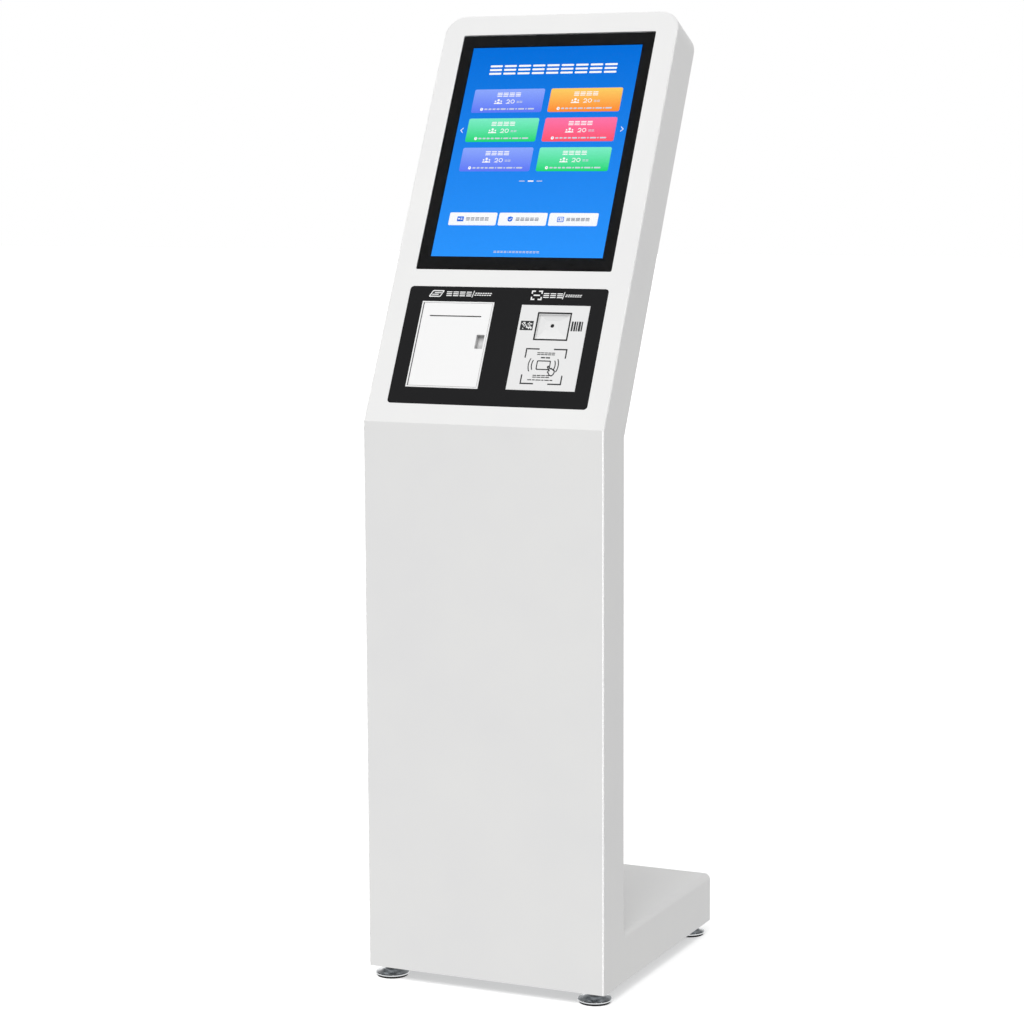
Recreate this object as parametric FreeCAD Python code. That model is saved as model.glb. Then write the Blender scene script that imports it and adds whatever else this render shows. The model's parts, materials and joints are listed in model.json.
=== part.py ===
import FreeCAD, Part
import math
import os

from FreeCAD import Placement, Rotation, Vector

# Free-standing queue-ticket kiosk, in millimetres. Everything is modelled in a cabinet frame:
# x across (positive on the viewer's right), y back from the front face of the column, and z up
# from the underside of the body. save() moves it to the row frame, whose origin is on the floor
# under the middle of the bounding box. Parts of the tilted head are modelled upright in the same
# way (x across, y back from the head's front face, z up the slope from the fold), and to_head()
# tilts them about the fold.

# Driving dimensions of the body
WIDTH = 416.0
DEPTH = 82.0
BEND_HEIGHT = 893.0
TILT = 26.4
HEAD_LENGTH = 723.0
BASE_DEPTH = 472.0
BASE_HEIGHT = DEPTH
FOOT_HEIGHT = 20.0
SHEET = 1.5
EDGE_R = 3.0
TOP_R = 35.0
BASE_R = 10.0
FLOOR = 3.0

HALF = WIDTH / 2
INNER_HALF = HALF - SHEET
INNER_BACK = DEPTH - SHEET
OVER = 120.0
SPAN = 2500.0

# Rear doors
FRAME_HALF = 190.0
DOOR_GAP = 1.0
DOOR_FLANGE = 12.0
COLUMN_DOOR_Z = (100.0, 770.0)
HEAD_DOOR_V = (215.0, HEAD_LENGTH - 18.0)
HINGE_X = 192.0
HINGE_Y = DEPTH + 4.3
HINGE_R = 4.0
HINGE_LENGTH = 60.0
LEAF = 2.0
PIN_R = 2.0
RUN = 0.05
COLUMN_HINGES_Z = (170.0, 435.0, 700.0)
HEAD_HINGES_V = (280.0, 640.0)
LOCK_X = -170.0
COLUMN_LOCK_Z = 435.0
HEAD_LOCK_V = 460.0
LOCK_R = 9.4
PLUG_R = 6.0
CAM_Y = (66.0, 68.0)

# Fan on the head door
FAN_V = 600.0
FAN_SIZE = 80.0
FAN_DEPTH = 25.0
FAN_HOLES = 35.75
FAN_BORE_R = 38.0
FAN_Y = INNER_BACK - FAN_DEPTH

# Display
GLASS_HALF = 170.0
GLASS_V = (265.3, 686.0)
GLASS = 3.0
GLASS_GAP = 0.8
GLASS_R = 2.0
SCREEN_V = (GLASS_V[0] + GLASS_V[1]) / 2 + 1.0
LCD_HALF = 162.0
LCD_HALF_V = 198.0
ACTIVE_HALF = 150.53
ACTIVE_HALF_V = 188.16
LCD_Y = (3.3, 20.0)
LCD_FACE_Y = 5.0
DISPLAY_FRAME_HALF = 186.0
BRACKET_V = (-110.0, 110.0)

# Service panel: a black plate with the printer on the left and the reader on the right
PANEL_HALF = 172.7
PANEL_V = (33.0, 234.9)
PANEL = 3.0
PANEL_R = 6.0
FIT_GAP = 0.2
PRINTER_U = (-146.5, -19.3)
PRINTER_V = (61.1, 209.3)
READER_U = (29.0, 146.6)
READER_V = (61.9, 206.0)

# Printer
RIM = 2.5
DOOR_CLEAR = 0.5
DOOR_FACE = 2.5
DOOR_NOSE_R = 3.0
DOOR_PIN_R = 1.0
SLOT_U = (-128.5, -37.5)
SLOT_V = 184.0
SLOT_HEIGHT = 2.0
PULL_U = (-38.9, -25.1)
PULL_V = (129.0, 153.0)
PULL_DEPTH = 8.0
CHASSIS_U = (-136.0, -30.0)
CHASSIS_V = (66.0, 203.0)
CHASSIS_Y = (14.0, 77.5)
SIDE = 1.5
BRACKET_REACH = 28.0
BLADE_Y = 10.9
PAPER_U = (-123.0, -43.0)
CUTTER_U = (PAPER_U[0] - 4, PAPER_U[1] + 4)
PAPER_Y = 22.0
PAPER = 0.15
PLATEN_R = 5.7
PLATEN_SHAFT_R = 2.5
PLATEN_V = 166.0
PLATEN_Y = PAPER_Y - 0.3 - PLATEN_R
ROLL_R = 25.0
ROLL_CORE_R = 6.0
ROLL_V = 98.0
ROLL_Y = PAPER_Y + PAPER + 0.3 + ROLL_R
MODULE = 0.8
PLATEN_TEETH = 16
IDLER_TEETH = 24
PINION_TEETH = 12
GEAR_U = (-28.5, -25.5)
IDLER_ANGLE = 30.0
PINION_ANGLE = 20.0

# Reader
SCAN_CENTRE = (88.7, 170.1)
SCAN_HALF = (29.3, 23.9)
TRIM = 2.5
FUNNEL_DEPTH = 7.5
FUNNEL_BACK_HALF = (12.0, 8.0)
FUNNEL_WALL = 1.5
LENS_R = 3.2
FUNNEL_SHIFT = (-3.5, 3.5)

# Feet
FOOT_X = 180.0
FOOT_Y = (28.0, BASE_DEPTH - 28.0)
STUD_R = 5.0
CUP_R = 27.5
PAD = 3.0

# Rear connections in the base
REAR_INSET = 4.0
REAR_Y = (BASE_DEPTH - REAR_INSET - SHEET, BASE_DEPTH - REAR_INSET)
INLET_X = 110.0
PORT_X = 30.0
REAR_Z = 42.0
ROCKER_X = 135.0
ROCKER_TILT = 12.0

# Equipment in the column
PLATE_Y = (10.0, 11.5)
COMPUTER_Z = (560.0, 690.0)
SUPPLY_Z = (300.0, 460.0)
CABLE_R = 3.0
LEAD_Y = 31.5


def box(x0, x1, y0, y1, z0, z1):
    return Part.makeBox(x1 - x0, y1 - y0, z1 - z0, Vector(x0, y0, z0))


def rod(radius, start, end):
    start = Vector(*start)
    run = Vector(*end) - start
    return Part.makeCylinder(radius, run.Length, start, run)


def ring(outer, inner, start, end):
    return rod(outer, start, end).cut(rod(inner, start, end))


def fuse(shapes):
    return shapes[0].multiFuse(shapes[1:]).removeSplitter()


def cut(shape, tools):
    return shape.cut(tools)


def group(shapes):
    return Part.makeCompound(shapes)


def rounded(shape, radius, axis, wanted=None):
    """Fillet the straight edges that run along one axis, or those of them that are wanted."""
    direction = {"x": Vector(1, 0, 0), "y": Vector(0, 1, 0), "z": Vector(0, 0, 1)}[axis]
    edges = []
    for edge in shape.Edges:
        run = edge.Vertexes[-1].Point - edge.Vertexes[0].Point
        along = run.Length > 0 and abs(abs(run.dot(direction)) - run.Length) < 1e-6
        if along and (wanted is None or wanted(edge.CenterOfMass)):
            edges.append(edge)
    return shape.makeFillet(radius, edges)


def slab(x_range, z_range, y_range, radius=0.0):
    """Flat plate facing the front, with rounded corners if a radius is given."""
    shape = box(*x_range, *y_range, *z_range)
    if radius > 0:
        shape = rounded(shape, radius, "y")
    return shape


def grown(values, amount):
    return (values[0] - amount, values[1] + amount)


def eased(plate, size):
    """Chamfer the edges of a plate's front face, which lies at y = 0."""
    return plate.makeChamfer(size, [edge for edge in plate.Edges if edge.BoundBox.YMax < 1e-6])


def prism(points, direction):
    """Extrude a closed polygon."""
    corners = [Vector(*point) for point in points]
    face = Part.Face(Part.makePolygon(corners + corners[:1]))
    return face.extrude(Vector(*direction))


def hexagon(across_flats, start, length, direction):
    """Hexagonal prism along y or z."""
    radius = across_flats / math.sqrt(3)
    points = []
    for i in range(6):
        a = radius * math.cos(math.radians(60 * i))
        b = radius * math.sin(math.radians(60 * i))
        offset = (a, 0, b) if direction == "y" else (a, b, 0)
        points.append([start[k] + offset[k] for k in range(3)])
    run = (0, length, 0) if direction == "y" else (0, 0, length)
    return prism(points, run)


HEAD_PLACEMENT = Placement(Vector(0, 0, BEND_HEIGHT), Rotation(Vector(1, 0, 0), -TILT))
ROW_SHIFT = Placement(Vector(0, -BASE_DEPTH / 2, FOOT_HEIGHT), Rotation())


def to_head(shape):
    moved = shape.copy()
    moved.Placement = HEAD_PLACEMENT.multiply(moved.Placement)
    return moved


def head_point(x, y, z):
    return HEAD_PLACEMENT.multVec(Vector(x, y, z))


def mitre_side(side):
    """The half space below (-1) or above (+1) the plane that halves the fold."""
    low = -SPAN if side < 0 else 0.0
    shape = box(-SPAN, SPAN, -SPAN, SPAN, low, low + SPAN)
    shape.Placement = Placement(Vector(0, 0, BEND_HEIGHT), Rotation(Vector(1, 0, 0), -TILT / 2))
    return shape


BELOW_FOLD = mitre_side(-1)
ABOVE_FOLD = mitre_side(1)


# Sheet-metal skin

def column_block(inset):
    shape = box(-HALF + inset, HALF - inset, inset, DEPTH - inset, 0, BEND_HEIGHT + OVER)
    return rounded(shape, EDGE_R - inset, "z")


def column_sheet():
    return column_block(0).cut(column_block(SHEET)).common(BELOW_FOLD)


def head_block(inset):
    top = HEAD_LENGTH - inset
    shape = box(-HALF + inset, HALF - inset, inset, DEPTH - inset, -OVER, top)
    shape = rounded(shape, TOP_R - inset, "y", lambda centre: centre.z > 0)
    rims = []
    for edge in shape.Edges:
        bounds = edge.BoundBox
        flat = bounds.YLength < 1e-6
        low = bounds.ZMax < -OVER + 1e-6
        if flat and not low:
            rims.append(edge)
    return shape.makeFillet(EDGE_R - inset, rims)


def head_sheet():
    return head_block(0).cut(head_block(SHEET))


def base_block(inset):
    shape = box(-HALF + inset, HALF - inset, DEPTH - SHEET, BASE_DEPTH, 0, BASE_HEIGHT - inset)
    return rounded(shape, BASE_R - inset, "y", lambda centre: centre.z > BASE_HEIGHT / 2)


def side_panel(side):
    """Side of base, column and head in one sheet, folded round the front edge and round the back."""
    edge = HALF - EDGE_R
    column = column_sheet()
    skin = column.common(box(edge, SPAN, -SPAN, SPAN, 0, SPAN))
    skin = skin.cut(box(edge - 1, INNER_HALF, DEPTH / 2, SPAN, -1, BASE_HEIGHT))
    flange = column.common(box(FRAME_HALF, edge, DEPTH / 2, SPAN, BASE_HEIGHT, SPAN))
    shoulder = TOP_R
    limit = HEAD_LENGTH - shoulder
    head = head_sheet()
    head_skin = head.common(box(edge, SPAN, -SPAN, SPAN, -OVER, limit))
    head_flange = head.common(box(FRAME_HALF, edge, DEPTH / 2, SPAN, -OVER, limit))
    upper = to_head(head_skin.fuse(head_flange)).common(ABOVE_FOLD)
    corner = box(INNER_HALF, HALF, DEPTH - EDGE_R, DEPTH, 0, BASE_HEIGHT)
    base = box(INNER_HALF, HALF, DEPTH, BASE_DEPTH, 0, BASE_HEIGHT - BASE_R)
    pieces = [skin, flange, upper, corner, base]
    shape = fuse(pieces)
    if side < 0:
        shape = shape.mirror(Vector(0, 0, 0), Vector(1, 0, 0))
        keeper_x = (-INNER_HALF, -FRAME_HALF - 3)
        keeper_y = (CAM_Y[1] + 1, CAM_Y[1] + 1 + SHEET)
        keeper = slab(keeper_x, (COLUMN_LOCK_Z - 14, COLUMN_LOCK_Z + 14), keeper_y)
        head_keeper = to_head(slab(keeper_x, (HEAD_LOCK_V - 14, HEAD_LOCK_V + 14), keeper_y))
        shape = fuse([shape, keeper, head_keeper])
    return shape


def column_front_panel():
    half = HALF - EDGE_R
    return box(-half, half, 0, SHEET, 0, BEND_HEIGHT + OVER).common(BELOW_FOLD)


def front_flat(y_range):
    """The flat area of the head's front, inside its folded edge."""
    half = HALF - EDGE_R
    shape = box(-half, half, *y_range, -OVER, HEAD_LENGTH - EDGE_R)
    return rounded(shape, TOP_R - EDGE_R, "y", lambda centre: centre.z > 0)


def head_front_panel():
    glass = slab(
        grown((-GLASS_HALF, GLASS_HALF), GLASS_GAP),
        grown(GLASS_V, GLASS_GAP),
        (-1, SHEET + 1),
        GLASS_R + GLASS_GAP,
    )
    panel = slab(
        grown((-PANEL_HALF, PANEL_HALF), FIT_GAP),
        grown(PANEL_V, FIT_GAP),
        (-1, SHEET + 1),
        PANEL_R + FIT_GAP,
    )
    flat = front_flat((0, SHEET)).cut([glass, panel])
    return to_head(flat).common(ABOVE_FOLD)


def head_top_cap():
    """Top of the head, folded to the front and to the back, with both large corners."""
    top = head_sheet().common(box(-SPAN, SPAN, -SPAN, SPAN, HEAD_LENGTH - TOP_R, SPAN))
    opening = box(-FRAME_HALF, FRAME_HALF, DEPTH / 2, SPAN, 0, HEAD_DOOR_V[1])
    opening = rounded(opening, TOP_R - 18.0, "y", lambda centre: centre.z > HEAD_DOOR_V[0])
    return to_head(top.cut([front_flat((-1, SHEET)), opening]))


def rear_bend_panel():
    lower = box(-FRAME_HALF, FRAME_HALF, INNER_BACK, DEPTH, COLUMN_DOOR_Z[1], SPAN)
    upper = box(-FRAME_HALF, FRAME_HALF, INNER_BACK, DEPTH, -OVER, HEAD_DOOR_V[0])
    return fuse([lower.common(BELOW_FOLD), to_head(upper).common(ABOVE_FOLD)])


def base_top_cover():
    hood = base_block(0).cut(base_block(SHEET))
    hood = hood.common(box(-SPAN, SPAN, DEPTH, SPAN, BASE_HEIGHT - BASE_R, SPAN))
    joint = box(-INNER_HALF, INNER_HALF, INNER_BACK, DEPTH, BASE_HEIGHT - SHEET, BASE_HEIGHT)
    upstand = box(-FRAME_HALF, FRAME_HALF, INNER_BACK, DEPTH, BASE_HEIGHT, COLUMN_DOOR_Z[0])
    return fuse([hood, joint, upstand])


def base_rear_panel():
    half = INNER_HALF
    plate = box(-half, half, *REAR_Y, FLOOR, BASE_HEIGHT - SHEET)
    plate = rounded(plate, BASE_R - SHEET, "y", lambda centre: centre.z > BASE_HEIGHT / 2)
    holes = [slab((INLET_X - 14, ROCKER_X + 11), (REAR_Z - 11, REAR_Z + 11), (0, BASE_DEPTH), 1)]
    holes.append(slab((PORT_X - 9, PORT_X + 9), (REAR_Z - 9, REAR_Z + 9), (0, BASE_DEPTH), 1))
    return plate.cut(holes)


def foot_places():
    return [(x, y) for y in FOOT_Y for x in (-FOOT_X, FOOT_X)]


def base_floor_plate():
    """Floor of the base, with a nut welded over each foot's hole."""
    plate = box(-INNER_HALF, INNER_HALF, SHEET, BASE_DEPTH, 0, FLOOR)
    plate = rounded(plate, 2.0, "z", lambda centre: centre.y < DEPTH)
    solids = []
    for x, y in foot_places():
        plate = plate.cut(rod(STUD_R + 0.5, (x, y, -1), (x, y, FLOOR + 1)))
        nut = hexagon(17.0, (x, y, FLOOR), 10.0, "z")
        solids.append(nut.cut(rod(STUD_R + RUN, (x, y, 0), (x, y, 20))))
    return group([plate] + solids)


def foot(x, y):
    """Levelling foot screwed right in: stud, hexagon, flared cup, and the rubber pad under it."""
    low = -FOOT_HEIGHT + PAD
    profile = [
        (0, low),
        (CUP_R - 1, low),
        (CUP_R, low + 1),
        (CUP_R, low + 2.6),
        (CUP_R - 1, low + 3.6),
        (20, low + 5.4),
        (14, low + 8.6),
        (11, low + 13),
        (0, low + 13),
    ]
    points = [Vector(radius, 0, z) for radius, z in profile]
    face = Part.Face(Part.makePolygon(points + points[:1]))
    cup = face.revolve(Vector(0, 0, 0), Vector(0, 0, 1), 360)
    cup.translate(Vector(x, y, 0))
    nut = hexagon(17.0, (x, y, low + 13), FOOT_HEIGHT - PAD - 13 - 0.3, "z")
    stud = rod(STUD_R, (x, y, low + 18), (x, y, 34))
    pad = rod(CUP_R - 2.5, (x, y, -FOOT_HEIGHT), (x, y, low))
    return group([fuse([cup, nut, stud]), pad])


# Rear doors, hinges and locks, all upright: to_head() places those of the head

def door_pan(z_range, top_radius):
    """Pan with a flange folded in all round, its outer face flush with the cabinet's back."""
    half = FRAME_HALF - DOOR_GAP
    low = z_range[0] + DOOR_GAP
    high = z_range[1] - DOOR_GAP
    outer = box(-half, half, DEPTH - DOOR_FLANGE, DEPTH, low, high)
    inner = box(-half + SHEET, half - SHEET, 0, INNER_BACK, low + SHEET, high - SHEET)
    if top_radius > 0:
        middle = (low + high) / 2
        outer = rounded(outer, top_radius, "y", lambda centre: centre.z > middle)
        inner = rounded(inner, top_radius - SHEET, "y", lambda centre: centre.z > middle)
    return outer.cut(inner)


def vent_slots(centre_z, rows, length=110.0, pitch=9.0, height=3.0):
    slots = []
    for row in range(rows):
        z = centre_z + (row - (rows - 1) / 2) * pitch
        for side in (-1, 1):
            x = side * (length / 2 + 8)
            slot_x = (x - length / 2, x + length / 2)
            slots.append(slab(slot_x, (z - height / 2, z + height / 2), (INNER_BACK - 1, DEPTH + 1), 1.4))
    return slots


def lock_hole(z):
    return rod(LOCK_R, (LOCK_X, INNER_BACK - 1, z), (LOCK_X, DEPTH + 1, z))


def column_door():
    vents = vent_slots(150, 5) + vent_slots(720, 5)
    return door_pan(COLUMN_DOOR_Z, 0).cut(vents + [lock_hole(COLUMN_LOCK_Z)])


def fan_screw_places():
    return [(sx * FAN_HOLES, FAN_V + sz * FAN_HOLES) for sx in (-1, 1) for sz in (-1, 1)]


def head_door():
    tools = vent_slots(320, 6) + [lock_hole(HEAD_LOCK_V)]
    tools.append(rod(FAN_BORE_R - 1, (0, INNER_BACK - 1, FAN_V), (0, DEPTH + 1, FAN_V)))
    for x, z in fan_screw_places():
        tools.append(rod(2.15, (x, INNER_BACK - 1, z), (x, DEPTH + 1, z)))
    return to_head(door_pan(HEAD_DOOR_V, TOP_R - 19.0).cut(tools))


def screw_head(x, z, radius=3.2):
    """Pan head of a screw standing on a hinge leaf."""
    head = rod(radius, (x, DEPTH + LEAF, z), (x, DEPTH + LEAF + 1.6, z))
    cross = [slab((x - 2, x + 2), (z - 0.4, z + 0.4), (DEPTH + LEAF + 0.8, DEPTH + 9))]
    cross.append(slab((x - 0.4, x + 0.4), (z - 2, z + 2), (DEPTH + LEAF + 0.8, DEPTH + 9)))
    return head.cut(cross)


def cabinet_leaf(z):
    """Lower half of a hinge: a leaf on the cabinet's back flange and a knuckle that grips the pin."""
    low = z - HINGE_LENGTH / 2
    leaf = slab((HINGE_X, HALF - EDGE_R), (low, z), (DEPTH, DEPTH + LEAF))
    knuckle = rod(HINGE_R, (HINGE_X, HINGE_Y, low), (HINGE_X, HINGE_Y, z))
    bore = rod(PIN_R, (HINGE_X, HINGE_Y, low - 1), (HINGE_X, HINGE_Y, z + 1))
    return fuse([leaf, knuckle]).cut(bore)


def door_leaf(z):
    """Upper half of a hinge: a leaf on the door and a knuckle that turns on the pin."""
    low = z + 0.4
    high = z + HINGE_LENGTH / 2
    leaf = slab((HINGE_X - 22, HINGE_X), (low, high), (DEPTH, DEPTH + LEAF))
    knuckle = rod(HINGE_R, (HINGE_X, HINGE_Y, low), (HINGE_X, HINGE_Y, high))
    bore = rod(PIN_R + RUN, (HINGE_X, HINGE_Y, low - 1), (HINGE_X, HINGE_Y, high + 1))
    solids = [fuse([leaf, knuckle]).cut(bore)]
    for dz in (8.0, 22.0):
        solids.append(screw_head(HINGE_X - 14, z + dz))
    return group(solids)


def hinge_pin(z):
    low = z - HINGE_LENGTH / 2
    return rod(PIN_R, (HINGE_X, HINGE_Y, low), (HINGE_X, HINGE_Y, z + HINGE_LENGTH / 2 - 1))


def hinge_cabinet_leaves():
    column = [cabinet_leaf(z) for z in COLUMN_HINGES_Z]
    head = [to_head(cabinet_leaf(v)) for v in HEAD_HINGES_V]
    return group(column + head)


def printer_door_pin_spans():
    return [(PRINTER_V[0], PRINTER_V[0] + RIM + 8), (PRINTER_V[1] - RIM - 8, PRINTER_V[1])]


def printer_hinge_axis():
    return PRINTER_U[0] + RIM + DOOR_CLEAR + DOOR_NOSE_R


def hinge_pins():
    pins = [hinge_pin(z) for z in COLUMN_HINGES_Z]
    pins += [to_head(hinge_pin(v)) for v in HEAD_HINGES_V]
    x = printer_hinge_axis()
    for low, high in printer_door_pin_spans():
        pins.append(to_head(rod(DOOR_PIN_R, (x, DOOR_NOSE_R, low), (x, DOOR_NOSE_R, high))))
    return group(pins)


def column_hinge_leaves():
    return group([door_leaf(z) for z in COLUMN_HINGES_Z])


def head_hinge_leaves():
    return to_head(group([door_leaf(v) for v in HEAD_HINGES_V]))


def lock_body(z):
    """Barrel of a cam lock with its outer flange, and the nut that clamps it to the door."""
    barrel = rod(LOCK_R, (LOCK_X, CAM_Y[1] + 0.5, z), (LOCK_X, DEPTH, z))
    flange = rod(11.5, (LOCK_X, DEPTH, z), (LOCK_X, DEPTH + 2, z))
    bore = rod(PLUG_R + RUN, (LOCK_X, 0, z), (LOCK_X, DEPTH + 5, z))
    nut = hexagon(24.0, (LOCK_X, INNER_BACK - 5, z), 5.0, "y")
    nut = nut.cut(rod(LOCK_R, (LOCK_X, 0, z), (LOCK_X, DEPTH, z)))
    return group([fuse([barrel, flange]).cut(bore), nut])


def lock_cam(z):
    """Key plug with its cam, which hangs down when the door is unlocked."""
    plug = rod(PLUG_R, (LOCK_X, CAM_Y[0], z), (LOCK_X, DEPTH + 2.4, z))
    cam = slab((LOCK_X - 8, LOCK_X + 8), (z - 32, z + 8), CAM_Y, 4)
    keyway = slab((LOCK_X - 0.8, LOCK_X + 0.8), (z - 3.5, z + 3.5), (DEPTH - 8, DEPTH + 5))
    return fuse([plug, cam]).cut(keyway)


def head_lock_body():
    return to_head(lock_body(HEAD_LOCK_V))


def head_lock_cam():
    return to_head(lock_cam(HEAD_LOCK_V))


def column_lock_body():
    return lock_body(COLUMN_LOCK_Z)


def column_lock_cam():
    return lock_cam(COLUMN_LOCK_Z)


# Cooling fan

def fan_frame():
    half = FAN_SIZE / 2
    back = FAN_Y + FAN_DEPTH
    frame = slab((-half, half), (FAN_V - half, FAN_V + half), (FAN_Y, back), 4)
    frame = frame.cut(rod(FAN_BORE_R, (0, FAN_Y - 1, FAN_V), (0, back + 1, FAN_V)))
    waist = ring(70, FAN_BORE_R + 1.5, (0, FAN_Y + 4, FAN_V), (0, back - 4, FAN_V))
    frame = frame.cut(waist)
    holes = [rod(2.15, (x, FAN_Y - 1, z), (x, back + 1, z)) for x, z in fan_screw_places()]
    frame = frame.cut(holes)
    struts = []
    for i in range(3):
        strut = box(-2, 2, FAN_Y, FAN_Y + 2.5, 0, FAN_BORE_R + 0.5)
        strut.rotate(Vector(0, 0, 0), Vector(0, 1, 0), 120 * i + 45)
        strut.translate(Vector(0, 0, FAN_V))
        struts.append(strut)
    hub = rod(16, (0, FAN_Y, FAN_V), (0, FAN_Y + 3, FAN_V))
    spindle = rod(1.5, (0, FAN_Y, FAN_V), (0, FAN_Y + 20, FAN_V))
    return to_head(fuse([frame, hub, spindle] + struts))


def fan_rotor():
    hub = rod(15, (0, FAN_Y + 3.6, FAN_V), (0, FAN_Y + 22, FAN_V))
    blades = []
    for i in range(7):
        blade = box(-8.5, 8.5, -0.7, 0.7, 13, 39)
        blade.rotate(Vector(0, 0, 0), Vector(0, 0, 1), 38)
        blade.rotate(Vector(0, 0, 0), Vector(0, 1, 0), 360 * i / 7)
        blade.translate(Vector(0, FAN_Y + 13, FAN_V))
        blades.append(blade)
    disc = rod(FAN_BORE_R - 1.5, (0, FAN_Y, FAN_V), (0, FAN_Y + FAN_DEPTH, FAN_V))
    bore = rod(1.5 + RUN, (0, FAN_Y, FAN_V), (0, FAN_Y + 20.4, FAN_V))
    return to_head(fuse([hub] + [blade.common(disc) for blade in blades]).cut(bore))


def fan_guard():
    """Rings on two crossed bars, which end in flat eyes under the fan's screws."""
    wire = 1.8
    back = DEPTH + 3.4
    pieces = []
    for radius in (12.0, 20.0, 28.0, 36.0):
        start = (0, back - wire, FAN_V)
        pieces.append(ring(radius + wire / 2, radius - wire / 2, start, (0, back, FAN_V)))
    reach = FAN_HOLES * math.sqrt(2) - 3.0
    for turn in (45, 135):
        bar = box(-reach, reach, back - 2 * wire + 0.6, back - wire + 0.6, -wire / 2, wire / 2)
        bar.rotate(Vector(0, 0, 0), Vector(0, 1, 0), turn)
        bar.translate(Vector(0, 0, FAN_V))
        pieces.append(bar)
    for x, z in fan_screw_places():
        pieces.append(rod(4.2, (x, DEPTH, z), (x, DEPTH + 2.4, z)))
    guard = fuse(pieces)
    holes = [rod(2.15, (x, DEPTH - 1, z), (x, DEPTH + 9, z)) for x, z in fan_screw_places()]
    return to_head(guard.cut(holes))


def fan_screws():
    """Screws through the guard, the door and the fan, each with its nut."""
    solids = []
    for x, z in fan_screw_places():
        shank = rod(2.0, (x, FAN_Y - 5, z), (x, DEPTH + 3, z))
        head = rod(3.8, (x, DEPTH + 2.4, z), (x, DEPTH + 4.6, z))
        solids.append(fuse([shank, head]))
        nut = hexagon(7.0, (x, FAN_Y - 3.2, z), 3.2, "y")
        solids.append(nut.cut(rod(2.0, (x, 0, z), (x, DEPTH, z))))
    return to_head(group(solids))


# Display

def touch_glass():
    return to_head(eased(slab((-GLASS_HALF, GLASS_HALF), GLASS_V, (0, GLASS), GLASS_R), 0.4))


def display_frame():
    """Stepped steel frame behind the head's front: the glass lies on it and the LCD sits in it."""
    outer_v = grown(GLASS_V, 15.0)
    half = DISPLAY_FRAME_HALF
    frame = slab((-half, half), outer_v, (SHEET, GLASS + SHEET), 8)
    step = slab(
        grown((-GLASS_HALF, GLASS_HALF), GLASS_GAP),
        grown(GLASS_V, GLASS_GAP),
        (0, GLASS),
        GLASS_R + GLASS_GAP,
    )
    window_v = (SCREEN_V - LCD_HALF_V - 1, SCREEN_V + LCD_HALF_V + 1)
    window = slab((-LCD_HALF - 1, LCD_HALF + 1), window_v, (0, 9))
    return to_head(frame.cut([step, window]))


def lcd_panel():
    body = slab((-LCD_HALF, LCD_HALF), (SCREEN_V - LCD_HALF_V, SCREEN_V + LCD_HALF_V), LCD_Y, 3)
    active_v = (SCREEN_V - ACTIVE_HALF_V, SCREEN_V + ACTIVE_HALF_V)
    recess = slab((-ACTIVE_HALF, ACTIVE_HALF), active_v, (0, LCD_FACE_Y))
    return to_head(body.cut(recess))


def lcd_brackets():
    """Two hat-shaped straps that clamp the LCD into its frame and carry the boards."""
    foot_y = GLASS + SHEET
    back = LCD_Y[1]
    solids = []
    for dv in BRACKET_V:
        v = (SCREEN_V + dv - 12, SCREEN_V + dv + 12)
        pieces = [slab((-LCD_HALF - 4, LCD_HALF + 4), v, (back, back + SHEET))]
        for side in (-1, 1):
            riser_x = sorted((side * (LCD_HALF + 2.5), side * (LCD_HALF + 4)))
            foot_x = sorted((side * (LCD_HALF + 2.5), side * (DISPLAY_FRAME_HALF - 3)))
            pieces.append(slab(riser_x, v, (foot_y, back + SHEET)))
            pieces.append(slab(foot_x, v, (foot_y, foot_y + SHEET)))
        solids.append(fuse(pieces))
    return to_head(group(solids))


def board(x_range, z_range, y, parts, posts, post_y):
    """Circuit board facing back, on posts from post_y, with the blocks of its components."""
    pieces = [slab(x_range, z_range, (y, y + 1.6), 2)]
    for x0, x1, z0, z1, height in parts:
        pieces.append(box(x0, x1, y + 1.6, y + 1.6 + height, z0, z1))
    for x, z in posts:
        pieces.append(rod(2.5, (x, post_y, z), (x, y, z)))
    return fuse(pieces)


def display_boards():
    """LCD driver board and touch controller, both on the straps behind the LCD."""
    post_y = LCD_Y[1] + SHEET
    low = SCREEN_V + BRACKET_V[0]
    high = SCREEN_V + BRACKET_V[1]
    driver_parts = [
        (-20, 20, SCREEN_V - 15, SCREEN_V + 25, 4.0),
        (-60, -38, SCREEN_V - 90, SCREEN_V - 60, 9.0),
        (30, 62, SCREEN_V + 55, SCREEN_V + 75, 7.0),
        (-12, 22, low - 16, low - 6, 6.0),
        (-62, -40, SCREEN_V + 40, SCREEN_V + 80, 3.0),
    ]
    driver_posts = [(x, v) for x in (-64, 64) for v in (low, high)]
    driver = board((-72, 72), (low - 16, high + 10), post_y + 6, driver_parts, driver_posts, post_y)
    touch_parts = [(104, 124, low - 2, low + 18, 3.0), (96, 132, low + 28, low + 36, 6.0)]
    touch_posts = [(100, low), (132, low)]
    touch = board((90, 142), (low - 12, low + 42), post_y + 6, touch_parts, touch_posts, post_y)
    return [driver, touch]


# Service panel

def service_panel():
    plate = eased(slab((-PANEL_HALF, PANEL_HALF), PANEL_V, (0, PANEL), PANEL_R), 0.5)
    printer = slab(grown(PRINTER_U, FIT_GAP), grown(PRINTER_V, FIT_GAP), (-1, PANEL + 1))
    reader = slab(grown(READER_U, FIT_GAP), grown(READER_V, FIT_GAP), (-1, PANEL + 1))
    return to_head(plate.cut([printer, reader]))


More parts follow.
